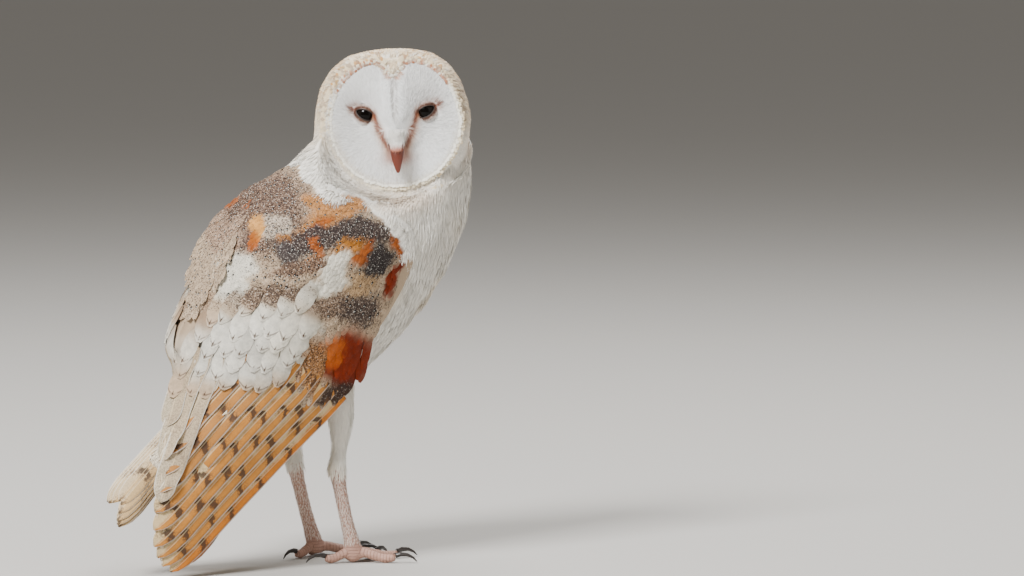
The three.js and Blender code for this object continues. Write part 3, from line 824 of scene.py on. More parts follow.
def closed_copy(nodes, reach, name):
    """Some CAD nodes grown and shrunk back by the same reach, which fills the creases between."""
    obj = new_object(name, merged_copy(nodes, name))
    for amount, soften in ((reach, 2), (-reach, 10)):
        modify(obj, "REMESH", mode="VOXEL", voxel_size=CREASE_VOXEL)
        modify(obj, "SMOOTH", iterations=soften)
        modify(obj, "DISPLACE", mid_level=0.0, strength=amount)
    modify(obj, "SMOOTH", iterations=4)
    mesh = apply_modifiers(obj)
    bpy.data.objects.remove(obj)
    return mesh


def sink(mesh, depth, rounds):
    """Moves a surface inwards by a depth for each vertex, evened out first. Returns its points."""
    for _ in range(rounds):
        depth = 0.5 * depth + 0.5 * neighbour_mean(mesh, depth)
    normals = np.zeros(len(mesh.vertices) * 3, np.float32)
    mesh.vertices.foreach_get("normal", normals)
    points = coords(mesh) / MM - normals.reshape(-1, 3) * depth[:, None]
    set_points(mesh, points)
    mesh.update()
    return points


class Ground:
    """A surface that tufts grow on: its mesh, a search tree over it, where its faces lie on the
    unwrap, the part that each face belongs to, and a search tree over what covers it."""

    def __init__(self, obj, points, tint, bare, along, labels, cover):
        self.mesh = obj.data
        set_colour(self.mesh, "tint", tint)
        set_number(self.mesh, "bare", bare)
        set_number(self.mesh, "along", along)
        finish_surface(self.mesh, Owl.materials["skin"])
        unwrap(obj)
        faces = [list(p.vertices) for p in self.mesh.polygons]
        self.tree = BVHTree.FromPolygons([Vector(p) for p in points], faces)
        loops = np.zeros(len(self.mesh.loops) * 2, np.float32)
        self.mesh.uv_layers["OFBake"].data.foreach_get("uv", loops)
        starts = np.zeros(len(faces), np.int32)
        self.mesh.polygons.foreach_get("loop_start", starts)
        self.uv = loops.reshape(-1, 2)[starts]
        self.labels = labels[[face[0] for face in faces]]
        self.cover = cover


def toe_reach(points, label):
    """Distance along each toe or tarsus, for its rings of scales."""
    out = points[:, 2].copy()
    body = to_body(points)
    for side, sign in SIDE_SIGNS:
        base = np.array([-10.0, 22.0 * sign, 5.5])
        for toe in TOES:
            mask = is_node(label, f"toe_{side}_{toe}")
            out[mask] = np.linalg.norm((body[mask] - base)[:, :2], axis=1)
    return out


def build_skin(look):
    """The one skin over head, body, legs and toes, inside them by the depth of the coat."""
    filled = closed_copy(["head", "neck", "trunk"], 0.008, "filled_creases")
    edged = [node for node in FLESH_NODES if node != "neck"]
    obj = new_object("owl_skin", joined("owl_skin", [merged_copy(edged, "flesh"), filled]))
    modify(obj, "REMESH", mode="VOXEL", voxel_size=look.skin_voxel)
    mesh = apply_modifiers(obj)
    tree, owners = tree_of(FLESH_NODES)
    label = np.array([owners[tree.find_nearest(Vector(p))[2]] for p in coords(mesh) / MM])
    feet, face = is_node(label, *FOOT_NODES), is_node(label, *FACE_NODES)
    soft = obj.vertex_groups.new(name="soft")
    for weight, mask in ((1.0, ~(feet | face)), (0.35, face), (0.3, feet)):
        soft.add([int(i) for i in np.flatnonzero(mask)], weight, "REPLACE")
    modify(obj, "SMOOTH", iterations=24, factor=0.5, vertex_group="soft")
    mesh = apply_modifiers(obj)
    depth = np.full(len(label), look.coat_depth / MM)
    for node, value in SKIN_DEPTHS.items():
        depth[is_node(label, node)] = value
    height = to_body(coords(mesh) / MM)[:, 2]
    depth = np.where(height < 80, depth * smooth(60, 78, height), depth)
    points = sink(mesh, depth, 6)
    bare = smooth(66, 52, to_body(points)[:, 2]) * feet
    cover, _ = tree_of(WING_NODES["left"] + WING_NODES["right"] + ["tail"])
    along = toe_reach(points, label) * MM
    Owl.skin = Ground(obj, points, skin_tint(points, label), bare, along, label, cover)
    seat(obj, "white_feather", *FLESH_NODES)


# Laying tufts on a surface

COVER_REACH = 6.0  # nothing grows where something lies this close over it
DARTS = 9  # how many places are tried for each one that would fit
PATCH = 0.0015  # half the side of a tuft's patch on the unwrap

# A tuft's shade is how dark its root is painted: painted shade where the coat lies over it.
Tuft = namedtuple("Tuft", "rows strands fan width lift root shade clump")
TUFTS = {
    "face": Tuft(4, 2, 0.45, 0.42, 0.8, 0.4, 0.95, 0.0),
    "crown": Tuft(4, 4, 0.8, 0.6, 1.3, 0.6, 0.9, 0.15),
    "neck": Tuft(4, 4, 1.5, 0.95, 1.4, 0.6, 0.95, 0.3),
    "belly": Tuft(4, 4, 1.7, 1.05, 1.8, 0.6, 0.94, 0.4),
    "leg": Tuft(4, 3, 0.8, 0.6, 1.5, 0.6, 0.88, 0.2),
    "shin": Tuft(3, 2, 0.4, 0.4, 0.5, 0.2, 0.9, 0.0),
    "lash": Tuft(4, 2, 0.35, 0.42, 0.35, 0.1, 0.9, 0.0),
}


def thin(spots, gaps, cell):
    """Which places to keep, so that none lies within its own gap of one that came before it."""
    powers = 4096 ** np.arange(spots.shape[1])
    steps = np.array(list(itertools.product((0, -1, 1), repeat=len(powers)))) @ powers
    steps = steps.tolist()
    keys = (np.floor(spots / cell).astype(int) @ powers).tolist()
    grid, chosen = {}, []
    for i, (spot, key, gap) in enumerate(zip(spots.tolist(), keys, gaps.tolist())):
        near = (other for step in steps for other in grid.get(key + step, ()))
        if not any(math.dist(spot, other) < gap for other in near):
            grid.setdefault(key, []).append(spot)
            chosen.append(i)
    return np.array(chosen)


def scatter(ground, accept, gap, seed):
    """Roots on a surface, no nearer to each other than the gap, where nothing covers it."""
    rng = np.random.default_rng(seed)
    points = coords(ground.mesh) / MM
    corners = np.array([p.vertices[:3] for p in ground.mesh.polygons])
    a, b, c = (points[corners[:, i]] for i in range(3))
    middle = (a + c) / 2
    cross = np.cross(b - a, c - a)
    normal = unit(cross)
    keep = np.flatnonzero(accept(middle, ground.labels))
    covered = [
        ground.cover.ray_cast(Vector(p - n), Vector(n), COVER_REACH)[0] is not None
        for p, n in zip(middle[keep], normal[keep])
    ]
    keep = keep[~np.array(covered)]
    weight = np.linalg.norm(cross, axis=1)[keep] / (gap * gap)
    total = int(weight.sum() * DARTS)
    face = keep[rng.choice(len(keep), total, p=weight / weight.sum())]
    u = rng.random((total, 2))
    spot = a[face] + (b - a)[face] * u[:, :1] + (c - b)[face] * u[:, 1:]
    chosen = thin(spot, np.full(total, gap), gap)
    return spot[chosen], normal[face[chosen]], ground.uv[face[chosen]]


def walk(tree, roots, normals, flow, length, rows):
    """Paths from each root along the skin, following the lie of the coat."""
    points, ups = [roots], [normals]
    here, up = roots, normals
    for _ in range(rows - 1):
        way = flow(here, up)
        way = unit(way - up * (way * up).sum(1, keepdims=True))
        found = [tree.find_nearest(Vector(p)) for p in here + way * (length / (rows - 1))[:, None]]
        here = np.array([f[0] for f in found])
        up = unit(np.array([f[1] for f in found]) * 0.6 + up * 0.4)
        points.append(here)
        ups.append(up)
    return np.stack(points, 1), np.stack(ups, 1)


def sides_of(paths, ups):
    """Sideways direction along each path."""
    return unit(np.cross(ups, unit(np.gradient(paths, axis=1))))


def strand_mesh(name, paths, ups, uv, tints, tuft, seed):
    """One coat piece: each path split into a tuft of narrow tapered strands that fan out from one
    root, with their colours, painted shade darker at their roots, and bake patches."""
    rng = np.random.default_rng(seed)
    count, rows = paths.shape[:2]
    many = tuft.strands
    fan = np.linspace(-1, 1, many)[None] + rng.normal(0, 0.22, (count, many))
    scale = rng.uniform(0.72, 1.0, (count, many)).ravel()
    clump = 1.0 + tuft.clump * waves(paths[:, 0], 7.0)
    rise = tuft.lift * clump[:, None] * (0.15 + rng.uniform(0.55, 1.0, (count, many)))
    side = sides_of(paths, ups)
    paths, ups, side, uv, tints = (np.repeat(v, many, 0) for v in (paths, ups, side, uv, tints))
    count = len(paths)
    t = np.linspace(0, 1, rows)
    at = t[None] * scale[:, None] * (rows - 1)
    low = np.clip(at.astype(int), 0, rows - 2)
    part = (at - low)[..., None]
    row = np.arange(count)[:, None]
    centre = paths[row, low] * (1 - part) + paths[row, low + 1] * part
    centre = centre + side * fan.reshape(-1, 1, 1) * (tuft.fan * (0.25 + 0.75 * t[:, None]))
    centre = centre + ups * (-tuft.root + (rise.reshape(-1, 1, 1) + tuft.root) * t[:, None] ** 0.8)
    taper = np.interp(t, [0, 0.35, 0.75, 1], [0.7, 1.0, 0.75, 0.12])
    half = tuft.width / 2 * taper[None, :, None] * rng.uniform(0.7, 1.2, (count, 1, 1))
    across = side + ups * rng.uniform(-0.35, 0.35, (count, 1, 1))
    points = np.stack([centre - across * half, centre + across * half], 2).reshape(-1, 3)
    tint = tints * rng.uniform(0.94, 1.04, (count, 1))
    # Painted shade: darker at the root, where the coat above shades it, and a little lighter at the
    # tip.
    shade = np.interp(t, [0, 0.5, 1], [tuft.shade, 0.95, 1.03])
    colour = (tint[:, None, None, :] * shade[None, :, None, None]).repeat(2, 2).reshape(-1, 3)
    patch = np.stack(np.meshgrid([-PATCH, PATCH], np.linspace(-PATCH, PATCH, rows)), -1)
    bake = (patch[None] + uv[:, None, None]).reshape(-1, 2)
    mesh = array_mesh(name, points, grid_faces(count, rows, 2), {"OFBake": np.clip(bake, 0, 1)})
    set_colour(mesh, "tint", np.clip(colour, 0, 1))
    return mesh


def coat_piece(ground, name, accept, spacing, length_of, flow, tint_of, kind, seed, slot):
    """Scatters, lays and colours one piece of soft coat."""
    tuft = TUFTS[kind]
    gap = spacing / math.sqrt(bpy.context.scene.owl_look.coat_amount)
    roots, normals, uv = scatter(ground, accept, gap, seed)
    rng = np.random.default_rng(seed + 1)
    length = length_of(roots) * rng.uniform(0.85, 1.12, len(roots))
    paths, ups = walk(ground.tree, roots, normals, flow, length, tuft.rows)
    mesh = strand_mesh(name, paths, ups, uv, tint_of(roots), tuft, seed + 2)
    seat(new_object(name, mesh, Owl.materials["down"]), slot)


# Lie of the coat


def head_flow(points, ups):
    """Feathers of the head sweep back from the face and down."""
    head = to_head(points)
    back = np.tile(HEAD_AXES[:, 1], (len(points), 1))
    sideways = HEAD_AXES[:, 0][None] * (head[:, :1] * 0.012 + 0.2 * waves(points, 8.0)[:, None])
    return back * 0.9 + DOWN * 0.55 + sideways


def body_flow(points, ups):
    """Feathers of neck and trunk sweep down and towards the tail, and out from under the head."""
    body = to_body(points)
    near_head = smooth(300, 240, body[:, 2])[:, None]
    rear = smooth(230, 110, body[:, 2])[:, None]
    tailward = -BODY_AXES[:, 0][None] * (0.25 + 0.65 * rear)
    sway = BODY_AXES[:, 1][None] * (0.2 * waves(points, 12.0))[:, None]
    out = unit((points - HEAD_AT) * np.array([1.0, 1.0, 0.0]))
    under = np.clip(ups[:, 2:], 0, 1)
    return DOWN * (1.0 - 0.25 * rear) + tailward * near_head + sway * (1 - under) + out * under


def face_flow(points, ups):
    """Feathers of the disc radiate from beside the bill out to the rim."""
    head = to_head(points)
    x, z = head[:, 0], head[:, 2]
    sign = np.where(x >= 0, 1.0, -1.0)
    way = np.stack([x - sign * 7.0, np.zeros_like(x), z + 3.0], 1)
    way = unit(way)
    ridge = np.exp(-((x / 7.0) ** 2)) * smooth(-10, 10, z)
    fall = np.stack([sign * 0.45, np.zeros_like(x), -np.ones_like(x)], 1)
    way = way * (1 - ridge)[:, None] + fall * ridge[:, None]
    return way @ HEAD_AXES.T


def down_flow(points, ups):
    """Feathers of the legs point straight down."""
    return np.tile(DOWN, (len(points), 1))


# Soft coat, region by region


def even(length):
    return lambda points: np.full(len(points), length)


COAT_PIECES = (
    # name, CAD nodes, where on them, spacing, length, lie, colour, tuft, seed, slot
    ("face_coat", FACE_NODES,
     lambda p: (eye_reach(to_head(p), 7.6, 6.2)[2] > 1) & (to_head(p)[:, 1] < -10), 0.74,
     lambda p: 4.2 + 1.6 * smooth(-40, 0, disc_distance(to_head(p))), face_flow,
     lambda p: face_tint(to_head(p)), "face", 101, "white_feather"),
    ("head_coat", ["head", "ruff"],
     lambda p: (disc_distance(to_head(p)) > 2.5) | (to_head(p)[:, 1] > 0), 1.2, even(6.0),
     head_flow, body_tint, "crown", 111, "buff_feather"),
    ("neck_coat", ["neck"], None, 1.5, even(11.0), body_flow, body_tint, "neck", 121,
     "white_feather"),
    ("trunk_coat", ["trunk"], None, 1.9, even(14.0), body_flow, body_tint, "belly", 131,
     "white_feather"),
    ("rump_coat", ["tail_coverts"], None, 1.9, even(15.0), body_flow, body_tint, "belly", 136,
     "white_feather"),
    ("thigh_coat", ["thigh_left", "thigh_right"], None, 1.5, even(9.0), down_flow, body_tint,
     "leg", 141, "white_feather"),
    ("shin_coat", ["tarsus_left", "tarsus_right"], lambda p: p[:, 2] > 14, 1.3, even(3.4),
     down_flow, lambda p: np.tile(srgb(236, 220, 208), (len(p), 1)), "shin", 151,
     "white_feather"),
)


def build_coat():
    """The soft coat of face, head, neck, trunk and legs."""
    for name, nodes, where, *rest in COAT_PIECES:
        def accept(points, labels):
            mask = is_node(labels, *nodes)
            return mask & where(points) if where else mask

        coat_piece(Owl.skin, name, accept, *rest)


RUFF_ROWS = (
    # inset, length, half width, backward lean, feathers, colour, share of amber and of grey ones
    (-1.6, 3.0, 1.1, -0.5, 210, srgb(252, 248, 234), 0.85, 0.1),
    (0.2, 3.6, 1.15, -0.15, 210, srgb(244, 232, 204), 0.45, 0.25),
    (1.7, 4.2, 1.3, 0.9, 190, srgb(232, 212, 174), 0.25, 0.35),
    (3.2, 4.8, 1.5, 1.8, 180, srgb(230, 212, 178), 0.2, 0.35),
)


def build_ruff():
    """Short stiff feathers in rows round the rim of the disc."""
    rng = np.random.default_rng(61)
    rows, columns = 5, 3
    t = np.linspace(0, 1, rows)
    s = np.linspace(-1, 1, columns)
    rounded = np.array([0.6, 0.9, 1.0, 0.85, 0.3])
    grids, tints, bakes = [], [], []
    for ring, (inset, reach, half, lean, count, colour, amber_share, grey_share) in enumerate(
        RUFF_ROWS
    ):
        for k in range(count):
            angle = 2 * math.pi * (k + 0.5 * (ring % 2)) / count + rng.normal(0, 0.008)
            radius = float(disc_outline(np.array([angle]))[0]) + inset + rng.normal(0, 0.25)
            out = np.array([math.cos(angle), 0.0, math.sin(angle)])
            spot = HEAD_AXES @ (out * radius + np.array([0.0, -27.0, 0.0])) + HEAD_AT
            base, up, face, _ = Owl.skin.tree.find_nearest(Vector(spot))
            base, up = np.array(base), np.array(up)
            way = HEAD_AXES @ unit(out + np.array([0.0, lean + rng.normal(0, 0.08), 0.0]))
            if lean > 0:
                way = unit(way - up * (way @ up))
            side = unit(np.cross(way, HEAD_AXES @ np.array([0.0, -1.0, 0.0]) + up * 0.5))
            raised = np.cross(side, way)
            raised = raised if raised @ up > 0 else -raised
            centre = base - up * 0.3 + (reach * rng.uniform(0.85, 1.1) * t)[:, None] * way
            centre = centre + (0.6 * np.sin(t * 2.4))[:, None] * raised
            grid = centre[:, None] + side * ((half * rounded)[:, None] * s)[..., None]
            grids.append(grid - raised * (0.3 * s**2)[None, :, None])
            lobe = smooth(0.45, 0.75, out[2]) * smooth(0.05, 0.2, abs(out[0]))
            chosen = rng.random() < amber_share * lobe
            amber = (ORANGE if ring < 2 else GOLD) if chosen else colour
            grey = rng.random() < grey_share * smooth(-0.3, 0.4, out[2])
            tint = colour + (amber - colour) * rng.uniform(0.4, 0.9)
            tint = tint + (MAUVE - tint) * (0.6 if grey else 0.0)
            tints.append(tint * rng.uniform(0.92, 1.04))
            bakes.append(Owl.skin.uv[face])
    grids = np.array(grids)
    count = len(grids)
    bake = np.array(bakes)[:, None, None] + (vane_coordinates(count, rows, columns) - 0.5) * 0.003
    # Painted shade: each ruff feather darker at its root, under the feathers round it.
    shade = np.interp(t, [0, 0.6, 1], [0.82, 1.0, 1.0])
    tint = np.array(tints)[:, None, None, :] * shade[None, :, None, None]
    tint = np.repeat(tint, columns, 2).reshape(-1, 3)
    mesh = array_mesh("ruff_coat", grids.reshape(-1, 3), grid_faces(count, rows, columns),
                      {"OFBake": np.clip(bake.reshape(-1, 2), 0, 1)})
    set_colour(mesh, "tint", np.clip(tint, 0, 1))
    seat(new_object("ruff_coat", mesh, Owl.materials["down"]), "buff_feather")


# Wings


class WingChart:
    """Depths of one wing and the back, over a plane that faces the wing. Its first coordinate
    runs forward, its second up, both in millimetres. The left wing's plane mirrors the right's."""

    STEP = 2.0
    LOW = np.array([-150.0, -6.0])
    HIGH = np.array([110.0, 290.0])
    BRIDGED_ABOVE = 116
    RAMPED_ABOVE = 104
    STEEPEST = 1.4

    def __init__(self, side):
        self.side = side
        look = np.array([0.0, math.cos(VIEW_RISE), -math.sin(VIEW_RISE)])
        mirror = np.array([1.0, -1.0, 1.0])
        self.look = look if side == "right" else ((look[None] @ BODY_AXES) * mirror @ BODY_AXES.T)[0]
        xs, vs = (np.arange(a, b, self.STEP) for a, b in zip(self.LOW, self.HIGH))
        places = np.stack(np.meshgrid(xs, vs, indexing="ij"), -1)
        origin = self.origin(places.reshape(-1, 2))
        wings, _ = tree_of(WING_NODES["left"] + WING_NODES["right"] + ["trunk", "tail_coverts"])
        plain = self.cast(wings, origin).reshape(len(xs), len(vs))
        bridged = self.cast(Owl.core.tree, origin).reshape(len(xs), len(vs)) - 0.8
        upper = places[..., 1] > self.BRIDGED_ABOVE
        depth = self.relax(np.where(upper, np.fmin(plain, bridged), plain))
        limit = self.STEEPEST * self.STEP
        for _ in range(14):
            ramp = depth.copy()
            for near, far in ((ramp, depth), (ramp.T, depth.T)):
                near[1:] = np.minimum(near[1:], far[:-1] + limit)
                near[:-1] = np.minimum(near[:-1], far[1:] + limit)
            depth = np.where(places[..., 1] > self.RAMPED_ABOVE, ramp, depth)
        self.depth = self.blur(self.blur(depth))

    def cast(self, tree, origin):
        """How far along the line of sight the surface lies from each start."""
        hits = (tree.ray_cast(Vector(p), Vector(self.look)) for p in origin)
        return np.array([np.nan if hit[0] is None else hit[3] for hit in hits])

    def origin(self, chart):
        """Start of each line of sight."""
        far = -200.0
        z = (chart[:, 1] - far * math.sin(VIEW_RISE)) / math.cos(VIEW_RISE)
        points = CHART_AT + np.stack([chart[:, 0], np.full(len(chart), far), z], 1)
        if self.side == "left":
            points = from_body(mirrored(to_body(points), LEFT_WING_FORWARD))
        return points

    def relax(self, depth):
        """Fills what no line of sight met from its neighbours, and takes off the facets."""
        known = ~np.isnan(depth)
        filled = np.where(known, depth, 0.0)
        weight = known.astype(float)
        for _ in range(60):
            share = self.blur(weight)
            guess = self.blur(filled * weight) / np.maximum(share, 1e-6)
            filled = np.where(known, depth, guess)
            weight = np.where(known, 1.0, np.minimum(1.0, share * 2))
        for _ in range(3):
            filled = self.blur(filled)
        return filled

    @staticmethod
    def blur(values):
        padded = np.pad(values, 1, mode="edge")
        rows = (padded[:-2] + 2 * padded[1:-1] + padded[2:]) / 4
        return (rows[:, :-2] + 2 * rows[:, 1:-1] + rows[:, 2:]) / 4

    def point(self, chart):
        """The wing's surface at chart places."""
        flat = chart.reshape(-1, 2)
        at = np.clip((flat - self.LOW) / self.STEP, 0, np.array(self.depth.shape) - 1.001)
        low = at.astype(int)
        fx, fy = (at - low).T
        i, j = low.T
        d = self.depth
        depth = (
            d[i, j] * (1 - fx) * (1 - fy) + d[i + 1, j] * fx * (1 - fy)
            + d[i, j + 1] * (1 - fx) * fy + d[i + 1, j + 1] * fx * fy
        )
        out = self.origin(flat) + self.look * depth[:, None]
        return out.reshape(*chart.shape[:-1], 3)

    def normal(self, chart, reach=3.0):
        """Outward normal from the surface's slope over a few millimetres."""
        dx, dv = np.array([reach, 0.0]), np.array([0.0, reach])
        along = self.point(chart + dx) - self.point(chart - dx)
        rise = self.point(chart + dv) - self.point(chart - dv)
        n = unit(np.cross(along, rise))
        facing = (n * self.look).sum(-1, keepdims=True)
        return np.where(facing > 0, -n, n)


# Wing markings and one painted shade (spot_shade), on the wing chart: name, centre forward and up,
# half sizes, turn in degrees, colour, strength and how much dark and light speckle it carries

WING_MARKS = [
    ("shoulder_grey", (-24, 229), (34, 26), 35, MAUVE, 1.0, 0.9),
    ("rim_streak", (-44, 236), (7, 3.5), 40, ORANGE, 0.8, 0.1),
    ("mantle_pale", (-12, 219), (9, 10), 50, WHITE, 0.55, 0.4),
    ("upper_streak", (14, 236), (5, 9), 60, GOLD, 0.8, 0.3),
    ("upper_fawn", (22, 226), (30, 8), 28, srgb(208, 150, 88), 0.95, 0.3),
    ("upper_orange", (14, 219), (13, 3.5), 40, ORANGE, 0.85, 0.2),
    ("slate_band", (10, 212), (25, 7), 10, SLATE, 0.95, 1.0),
    ("slate_band_front", (45, 217), (20, 8), -8, SLATE, 0.95, 1.0),
    ("bend_orange", (68, 212), (6, 11), 0, ORANGE, 0.95, 0.1),
    ("fawn_spot", (-25, 220), (6, 8), -18, srgb(226, 172, 100), 1.0, 0.0),
    ("fawn_spot_foot", (-28, 211), (5, 7), -10, ORANGE, 0.85, 0.1),
    # Painted shade beside the fawn spot.
    ("spot_shade", (-36, 212), (4, 6), 0, SLATE, 0.8, 0.8),
    ("left_mauve", (-48, 216), (12, 14), 50, srgb(196, 172, 154), 0.85, 0.55),
    ("orange_a", (-7, 211), (6, 4), 0, GOLD, 0.8, 0.3),
    ("orange_b", (13, 206), (3.5, 7), 30, ORANGE, 0.85, 0.2),
    ("orange_c", (33, 207), (12, 6), 25, GOLD, 0.95, 0.25),
    ("orange_d", (44, 203), (4, 10), -35, ORANGE, 0.95, 0.0),
    ("slate_patch", (-4, 203), (9, 9), 10, srgb(92, 88, 92), 0.95, 0.8),
    ("orange_e", (12, 198), (4, 7), 25, srgb(190, 128, 74), 0.7, 0.6),
    ("grey_mid", (4, 193), (20, 6), 8, MAUVE, 0.9, 0.85),
    ("white_left", (-38, 195), (14, 10), -10, WHITE, 0.95, 0.3),
    ("white_right", (26, 194), (8, 13), -25, WHITE, 1.0, 0.0),
    ("charcoal", (52, 196), (8, 14), -30, srgb(64, 60, 62), 1.0, 0.7),
    ("under_charcoal", (42, 182), (12, 7), 20, srgb(206, 178, 140), 0.9, 0.4),
    ("deep_edge", (63, 187), (3.5, 15), -18, RUST, 1.0, 0.0),
    ("white_left_low", (-42, 181), (14, 9), -25, WHITE, 0.95, 0.25),
    ("white_mid", (16, 178), (20, 7), 14, WHITE, 0.95, 0.05),
    ("grey_low", (-14, 175), (24, 6.5), 12, srgb(176, 154, 134), 0.95, 0.85),
    ("white_rows_top", (-22, 163), (30, 6), 8, WHITE, 0.9, 0.05),
    ("grey_front", (24, 167), (15, 7), 18, srgb(168, 146, 128), 0.9, 0.85),
    ("charcoal_low", (42, 166), (13, 9), 20, srgb(120, 106, 98), 0.95, 1.0),
    ("left_edge_grey", (-58, 160), (6, 18), -14, GREY_BUFF, 0.6, 0.7),
    ("rows_white", (-30, 140), (44, 22), 8, srgb(236, 234, 228), 1.0, 0.08),
    ("soft_white", (-2, 146), (14, 20), -38, WHITE, 0.95, 0.05),
    ("carpal_fawn", (13, 130), (8, 19), -12, srgb(196, 144, 88), 0.95, 0.8),
    ("carpal_rust", (34, 133), (15, 21), -14, RUST, 1.0, 0.05),
    ("carpal_bright", (24, 140), (7, 12), -10, srgb(214, 110, 16), 0.8, 0.1),
    ("carpal_foot", (24, 111), (13, 6), 25, srgb(66, 44, 32), 0.95, 0.6),
]


def wing_marks(chart):
    """Tint and speckle of the small wing feathers at chart places."""
    flat = chart.reshape(-1, 2)
    probe = np.concatenate([flat, np.zeros((len(flat), 1))], 1)
    flat = flat + 2.2 * np.stack([waves(probe, 7.0), waves(probe + 31, 6.0)], 1)
    flat = flat + 1.0 * np.stack([waves(probe + 7, 2.6), waves(probe + 53, 2.4)], 1)
    tint = np.tile(srgb(206, 190, 170), (len(flat), 1))
    speckle = np.full(len(flat), 0.45)
    for _, centre, size, turn, colour, strength, dots in WING_MARKS:
        c, s = math.cos(math.radians(turn)), math.sin(math.radians(turn))
        d = flat - np.array(centre)
        x, y = d[:, 0] * c + d[:, 1] * s, -d[:, 0] * s + d[:, 1] * c
        mask = smooth(1.3, 0.7, np.hypot(x / size[0], y / size[1])) * strength
        tint = tint + (colour - tint) * mask[:, None]
        speckle = speckle + (dots - speckle) * mask
    light = smooth(0.45, 0.8, tint.min(1))[:, None]
    tint = tint * (np.array([0.78, 0.69, 0.59]) * (1 - light) + np.array([0.83, 0.81, 0.75]) * light)
    neck = (1 - below_neck_line(flat)) * (flat[:, 0] > -6)
    tint = tint + (WHITE - tint) * neck[:, None]
    speckle = speckle * (1 - neck)
    return tint.reshape(*chart.shape[:-1], 3), speckle.reshape(chart.shape[:-1])


def wing_way(chart):
    """Which way the small wing feathers point, on the chart."""
    low = smooth(190, 130, chart[:, 1])
    front = smooth(-40, 60, chart[:, 0])
    angle = np.radians(238 + 12 * low - 8 * front * (1 - low))
    return np.stack([np.cos(angle), np.sin(angle)], 1)


def build_wing_core():
    """The mass of both folded wings under their feathers, bridged over the back."""
    inner = [f"wing_{side}_{part}" for side in SIDES for part in ("coverts", "secondaries")]
    filled = closed_copy([*inner, "trunk", "neck"], 0.009, "filled_back")
    obj = new_object("wing_core", joined("wing_core", [merged_copy(inner, "wings"), filled]))
    modify(obj, "REMESH", mode="VOXEL", voxel_size=0.0015)
    modify(obj, "SMOOTH", iterations=8)
    mesh = apply_modifiers(obj)
    tree, _ = tree_of(inner)
    reach = np.array([tree.find_nearest(Vector(p))[3] for p in coords(mesh) / MM])
    points = sink(mesh, 0.8 + 6.0 * smooth(9.5, 14, reach), 4)
    chart = own_chart(points)
    paint = Paint(len(points), WHITE)
    paint.colours, _ = wing_marks(chart)
    low = smooth(130, 110, chart[:, 1])
    paint.blend(low, srgb(236, 216, 184))
    body = to_body(points)
    across = body[:, 0] * 0.62 + body[:, 2] * 0.5 + np.abs(body[:, 1]) * 0.35
    paint.blend(smooth(0.2, 0.9, np.sin(across * 1.9)) * 0.3 * low, srgb(176, 138, 96))
    none = np.zeros(len(points))
    # Painted shade: the core's colours a little darker, as it lies under the coverts.
    Owl.core = Ground(obj, points, paint.colours * 0.9, none, none, none, Owl.skin.tree)
    seat(obj, "buff_feather", *inner)


def build_shoulder_coat():
    """The neck's white feathers where they spill over the front of the folded wings."""
    def spilling(points, labels):
        chart = own_chart(points)
        return (below_neck_line(chart) < 0.6) & (chart[:, 0] > -4) & (to_body(points)[:, 2] > 190)

    coat_piece(Owl.core, "shoulder_coat", spilling, 1.5, even(10.0), body_flow, body_tint, "neck",
               161, "white_feather")


def vane_grid(charts, surface, half, profile, lifts, columns, camber, tilt=0.0):
    """Feather grids laid on a wing: centre lines on the chart become points, with their webs."""
    centre = surface.point(charts)
    up = surface.normal(charts)
    side = sides_of(centre, up) * (-1 if surface.side == "left" else 1)
    s = np.linspace(-1, 1, columns)
    reach = (half[:, None] * profile[None])[:, :, None, None] * s[None, None, :, None]
    points = centre[:, :, None] + side[:, :, None] * reach
    raised = lifts[:, :, None, None] - camber[:, None, None, None] * (s**2)[None, None, :, None]
    return points + up[:, :, None] * (raised + (tilt * s)[None, None, :, None])


def vane_object(name, grids, vane_uv, bake, attributes, material, thickness=0.0, flip=False):
    """One mesh of many feather grids. A colour or number is given for a feather or a vertex."""
    count, rows, columns = grids.shape[:3]
    quads = grid_faces(count, rows, columns)
    if flip:
        quads = quads[:, ::-1]
    uv_maps = {"Vane": vane_uv.reshape(-1, 2), "OFBake": bake.reshape(-1, 2)}
    mesh = array_mesh(name, grids.reshape(-1, 3), quads, uv_maps)
    for key, values in attributes.items():
        if values.shape[:3] != (count, rows, columns):
            values = np.repeat(values, rows * columns, 0)
        if values.shape[-1] == 3:
            set_colour(mesh, key, np.clip(values.reshape(-1, 3), 0, 1))
        else:
            set_number(mesh, key, values)
    obj = new_object(name, mesh, material)
    if thickness:
        modify(obj, "SOLIDIFY", thickness=thickness * MM, offset=-1)
        apply_modifiers(obj)
    return obj


# The wing's leading edge and back edge on the chart: heights, and how far forward each is there

LEAD_EDGE = (
    [0, 40, 80, 100, 110, 117, 150, 172, 190, 208, 222, 232, 240, 246, 252],
    [-84, -27, 12, 30, 38, 40, 48, 61, 66.5, 70, 63, 52, 43, 22, 10],
)
BACK_EDGE = (
    [0, 40, 80, 110, 125, 150, 172, 200, 215, 230, 245, 255],
    [-84, -90, -88, -82, -76, -70, -62, -58, -54, -46, -34, -15],
)


